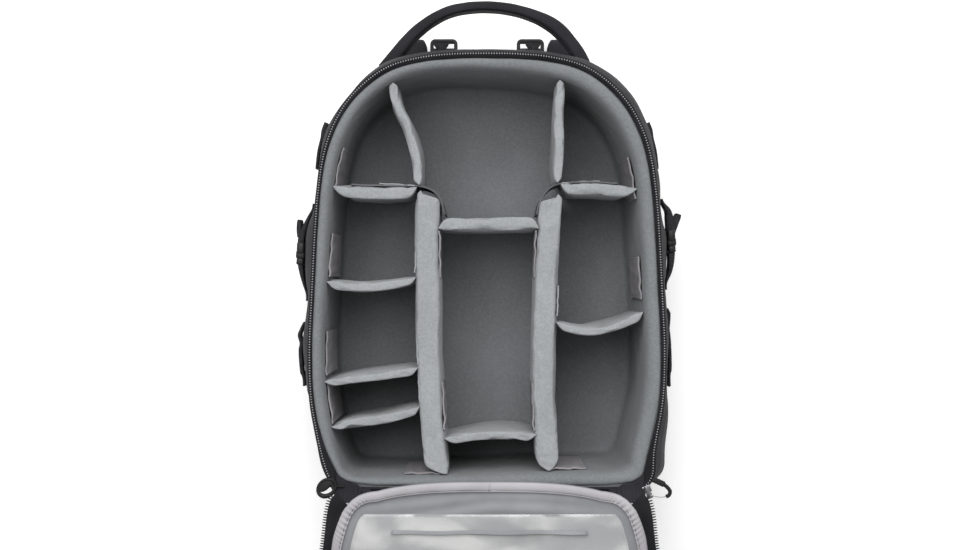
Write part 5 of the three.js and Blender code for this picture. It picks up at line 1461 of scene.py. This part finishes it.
def back_pad(word, side):
    """A ventilated back pad: a rounded block with channels pressed across it."""
    width, length, thick, corner = 82 * MM, 272 * MM, 12 * MM, 20 * MM
    low = STRAP_THICKNESS + 0.4 * MM
    plan = rounded(width, length, corner, 14, 24)
    middle = np.array([side * 76 * MM, -12 * MM])
    rows = []
    for inset, z in ((3.5, 0.2), (1.2, 1.2), (0.1, 3.2), (0, 6), (0.1, 8.8), (1.2, 10.8), (3.5, 11.8)):
        shrink = np.array([1 - inset * MM / (width / 2), 1 - inset * MM / (length / 2)])
        rows.append(in_body(middle + plan * shrink, low + z * MM))
    centre = in_body(middle[None], 0.0)[0]
    lid = [centre * [1, 1, 0] + (rows[0] - centre) * [f, f, 1] for f in (0.04, 0.2, 0.36, 0.52, 0.66, 0.78, 0.88, 0.96)]
    top = [centre * [1, 1, 0] + (rows[-1] - centre) * [f, f, 1] for f in (0.96, 0.8, 0.5, 0.2, 0.04)]
    for k, f in enumerate((0.04, 0.2, 0.36, 0.52, 0.66, 0.78, 0.88, 0.96)):
        y = lid[k][:, 1] - centre[1]
        channel = np.exp(-((np.mod(y / (34 * MM) + 0.5, 1) - 0.5) * 34 / 3.0) ** 2)
        lid[k][:, 2] += 1.6 * MM * channel + 0.2 * MM
    pad = skin("back_pad_foam_" + word, np.stack([*lid, *rows, *top]))
    finish_piece(pad, MESH_CLOTH, ["back_pad_" + word])


def flat_webbing(name, points, width, node, count=90):
    path = spline(points, count) + np.array([CENTRE[0], CENTRE[1], 0])
    strip = sweep(name, path, (1, 0, 0), rounded(width, 1.8 * MM, 0.8 * MM))
    return finish_piece(strip, WEBBING, [node])


def slotted_lock(name, width, length, bar, thick, at, turn, node):
    """A ladder lock: a rounded frame with a cross-bar and ribs that grip the webbing."""
    outline = rounded(width - bar, length - bar, 3 * MM, 6, 4)
    ring = np.column_stack([outline, np.zeros(len(outline))])
    parts = [sweep("lock", ring, (0, 0, 1), rounded(thick, bar, 1.1 * MM), closed=True)]
    parts.append(block("lock", (width - bar, bar, thick * 0.9), (0, 0, 0), bevel=1 * MM))
    parts.append(block("lock", (width - 2 * bar, 1.4 * MM, thick), (0, length / 2 - bar - 0.5 * MM, 0), bevel=0.6 * MM))
    lock = move(join(name, parts), at, turn)
    return finish_piece(lock, PLASTIC, [node])


def harness():
    for word, side in (("left", -1), ("right", 1)):
        shoulder_strap(word, side)
        back_pad(word, side)
        end_x = STRAP_APART / 2 - 4.8 * MM
        lock_y = STRAP_END_Y - 20 * MM
        z, t = STRAP_THICKNESS / 2, 0.9 * MM
        points = [
            (side * end_x, STRAP_END_Y - 4.5 * MM, z), (side * (end_x + 3 * MM), lock_y, z),
            (side * (end_x + 9 * MM), lock_y - 21.1 * MM, z + 2 * MM),
            (side * (end_x + 14 * MM), -HALF_HEIGHT + 4 * MM, BACK_Z - t - 4.4 * MM),
            (side * (end_x + 13 * MM), -HALF_HEIGHT + 16 * MM, BACK_Z - t - 1 * MM),
        ]
        flat_webbing("lower_webbing_strip_" + word, points, WEBBING_WIDTH, "lower_webbing_" + word)
        at = (CENTRE[0] + side * (end_x + 3 * MM), CENTRE[1] + lock_y, z - t - 1.9 * MM)
        slotted_lock("ladder_lock_frame_" + word, 34 * MM, 23.8 * MM, 4 * MM, 3 * MM, at, side * 0.16, "ladder_lock_" + word)
        top_z = BACK_Z - 0.4 * MM - t
        x = side * 43.5 * MM
        points = [(side * 38 * MM, HALF_HEIGHT * 0.8, top_z), (side * 40 * MM, HALF_HEIGHT * 0.95, top_z)]
        points += [(x, HALF_HEIGHT + 12 * MM, top_z), (x, HALF_HEIGHT + 25 * MM, top_z - 0.6 * MM)]
        path = spline(points, 60) + np.array([CENTRE[0], CENTRE[1], 0])
        past = (path[:, 1] - CENTRE[1] - HALF_HEIGHT) / MM
        pinch = 1 - 0.42 * np.exp(-(((past - 18.5) / 3.4) ** 2))
        section = rounded(15 * MM, 1.8 * MM, 0.8 * MM)
        strip = sweep("top_webbing_strip_" + word, path, (1, 0, 0), section, np.stack([pinch, 1 + (1 - pinch) * 1.6], 1))
        finish_piece(strip, WEBBING, ["top_webbing_" + word])
        at = (CENTRE[0] + side * 41 * MM, CENTRE[1] + HALF_HEIGHT + 18.5 * MM, BACK_Z - 4.6 * MM)
        slotted_lock("top_buckle_frame_" + word, 26 * MM, 21 * MM, 3.4 * MM, 4 * MM, at, 0, "top_buckle_" + word)


# Zip sliders and pulls


# Each slider: its share of the outline past the tape's end, how far it lies off the teeth there, its turn
SLIDER_AT = {"left": (0.004, (0, -1), 0.5), "right": (0.001, (3.4, -4.6), 0.4)}


def slider(word, side):
    """A zip slider on the teeth: two plates, the posts between them and the bridge that holds the pull."""
    start, aside, turn = SLIDER_AT[word]
    p = edge_point(ZIP_SHARES[0] + start, 0.2 * MM) * [side, 1]
    at = in_body(p, TAPE_Z + 2.8 * MM) + np.array([*aside, 0]) * MM
    parts = [
        block("s", (7.6 * MM, 6.4 * MM, 1.1 * MM), (0, 2.6 * MM, 0.6 * MM), bevel=0.5 * MM),
        block("s", (5 * MM, 7 * MM, 1.1 * MM), (0, -2.8 * MM, 0.6 * MM), bevel=0.5 * MM),
        block("s", (1.8 * MM, 2 * MM, 2.4 * MM), (0, 4.2 * MM, 1.6 * MM), bevel=0.5 * MM),
        block("s", (1.8 * MM, 2 * MM, 2.4 * MM), (0, -3.8 * MM, 1.6 * MM), bevel=0.5 * MM),
        block("s", (1.6 * MM, 9.8 * MM, 0.9 * MM), (0, 0.2 * MM, 2.9 * MM), bevel=0.4 * MM),
    ]
    body = move(join("slider_body_" + word, parts), at, turn)
    finish_piece(body, SLIDER_BLACK if side < 0 else SLIDER_METAL, ["slider_" + word])


def tube(path, width, thick, closed=False, scale=None):
    return sweep("tube", path, (0, 0, 1), rounded(width, thick, thick * 0.497, 6, 1), scale, closed)


def pull_middle(word):
    low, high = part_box("pull_" + word)
    return np.array([(low.x + high.x) / 2, (low.y + high.y) / 2, (low.z + high.z) / 2])


def loop_pull():
    """The left pull: a fat rubber loop, closed but for a crescent by a leaf of cloth inside it, on a short cord."""
    middle = pull_middle("left") + [2.6 * MM, -6.8 * MM, 0.6 * MM]
    angle = np.linspace(0, 2 * math.pi, 72, endpoint=False)
    loop = np.stack([8.4 * MM * np.cos(angle), 6.6 * MM * np.sin(angle), 0.4 * MM * np.sin(2 * angle)], -1)
    lean = math.radians(40)
    turned = np.array([[math.cos(lean), math.sin(lean), 0], [-math.sin(lean), math.cos(lean), 0], [0, 0, 1]])
    fat = 1 + 0.35 * np.exp(-(((angle - 3.9) / 0.9) ** 2))
    ring = tube(loop @ turned + middle, 3.2 * MM, 3.2 * MM, True, np.stack([np.ones(72), fat], 1))
    s = np.linspace(-1, 1, 20)
    leaf = np.stack([(-0.4 + 6.6 * s) * MM, (2.3 - 0.5 * s**2) * MM, 0.2 * MM + 0 * s], -1) @ turned + middle
    wide = np.sqrt(1 - 0.96 * s**2)
    leaf = sweep("leaf", leaf, (0, 0, 1), rounded(2.6 * MM, 7.6 * MM, 1.2 * MM), np.stack([0.6 + 0.4 * wide, wide], 1))
    ends = np.array([[6.6 * MM, -3.6 * MM, 0], [9.5 * MM, -6.5 * MM, -0.4 * MM], [12 * MM, -9 * MM, -1 * MM]])
    cord = tube(spline(ends, 12) @ turned + middle, 1.8 * MM, 1.8 * MM)
    finish_piece(join("pull_loop_left", [ring, leaf, cord]), RUBBER, ["pull_left"])


def grip_pull():
    """The right pull: a ribbed grip on a bent link, tied to the slider by a thin cord."""
    middle = pull_middle("right")
    along = np.linspace(0, 1, 30)
    axis = np.stack([(1.6 + 11.2 * along) * MM, (1 - 5.2 * along) * MM, (0.9 - 0.3 * along) * MM], -1)
    ribs = 1 - 0.07 * (np.sin(along * 34) > 0.2) - 0.3 * np.maximum(np.abs(along - 0.5) * 2 - 0.88, 0) / 0.12
    grip = sweep("grip", axis + middle, (0, 0, 1), rounded(4.4 * MM, 5.2 * MM, 1.6 * MM), np.stack([ribs, ribs], 1))
    bend = spline(np.array([(12.2, -4, 0.6), (15, -6.4, 0.6), (17.4, -10, 0.5), (16.6, -13.2, 0.3), (14, -14.8, 0)]) * MM, 30)
    link = tube(bend + middle, 2.6 * MM, 3.4 * MM)
    finish_piece(join("pull_grip_right", [grip, link]), RUBBER, ["pull_right"])
    line = spline(np.array([(14, -14.6, 0), (9, -15.2, -0.4), (4.5, -14.4, -0.6), (0.6, -13.4, -0.6)]) * MM, 24)
    finish_piece(tube(line + middle, 1 * MM, 1 * MM), CORD).name = "pull_cord_right"


outer_shell()
padded_liner()
body_zip()
dividers()
hook_tabs()
panel_shell()
panel_lining()
panel_binding()
panel_zip()
panel_window()
hinge_fabric()
corner_gussets()
handle()
for word, side in (("left", -1), ("right", 1)):
    side_strap(word, side)
    side_tab(word, side)
    side_loops(word, side)
    slider(word, side)
loop_pull()
grip_pull()
harness()

# Studio


def studio():
    bpy.ops.mesh.primitive_plane_add(size=12, location=(0, 0, -0.0005))
    floor = bpy.context.active_object
    floor.name = "studio_floor"
    paper = bpy.data.materials.new("white paper floor")
    paper.use_nodes = True
    nodes, links = paper.node_tree.nodes, paper.node_tree.links
    shader = nodes["Principled BSDF"]
    shader.inputs["Roughness"].default_value = 0.9
    shader.inputs["Emission Color"].default_value = (1, 1, 1, 1)
    shader.inputs["Emission Strength"].default_value = 0.3
    grain = nodes.new("ShaderNodeTexNoise")
    grain.inputs["Scale"].default_value = 3
    ramp = nodes.new("ShaderNodeValToRGB")
    ramp.color_ramp.elements[0].color = (0.9, 0.9, 0.9, 1)
    ramp.color_ramp.elements[1].color = (0.94, 0.94, 0.94, 1)
    place = nodes.new("ShaderNodeTexCoord")
    links.new(place.outputs["Object"], grain.inputs["Vector"])
    links.new(grain.outputs["Fac"], ramp.inputs["Fac"])
    links.new(ramp.outputs["Color"], shader.inputs["Base Color"])
    floor.data.materials.append(paper)
    world = bpy.data.worlds.new("studio")
    world.use_nodes = True
    world.node_tree.nodes["Background"].inputs["Color"].default_value = (1, 1, 1, 1)
    world.node_tree.nodes["Background"].inputs["Strength"].default_value = 0.5
    bpy.context.scene.world = world
    for name, place, aim, size, power in (
        ("overhead softbox", (-0.3, 0.95, 2.0), (0, 0.1, 0), 1.6, 40),
        ("far softbox", (0.9, 1.5, 1.5), (0, 0.1, 0), 1.2, 12),
    ):
        light = bpy.data.lights.new(name, "AREA")
        light.size = size
        light.energy = power
        lamp = bpy.data.objects.new(name, light)
        lamp.location = place
        lamp.rotation_euler = (Vector(aim) - Vector(place)).to_track_quat("-Z", "Y").to_euler()
        bpy.context.collection.objects.link(lamp)


def camera():
    """Straight above the open bag, at 0.88 mm a pixel of the 978 pixel wide frame at the zip rim."""
    pixel = 0.88 * MM
    distance = 1.8
    width = 978 * pixel
    data = bpy.data.cameras.new("camera")
    data.sensor_width = 36
    data.lens = 36 * distance / width
    cam = bpy.data.objects.new("camera", data)
    across, along = (489 - 487) * pixel, (272 - 275) * pixel
    cam.location = (CENTRE[0] + across, CENTRE[1] + along, RIM_Z + distance)
    bpy.context.collection.objects.link(cam)
    bpy.context.scene.camera = cam


studio()
camera()
bpy.context.scene.view_settings.view_transform = "Standard"
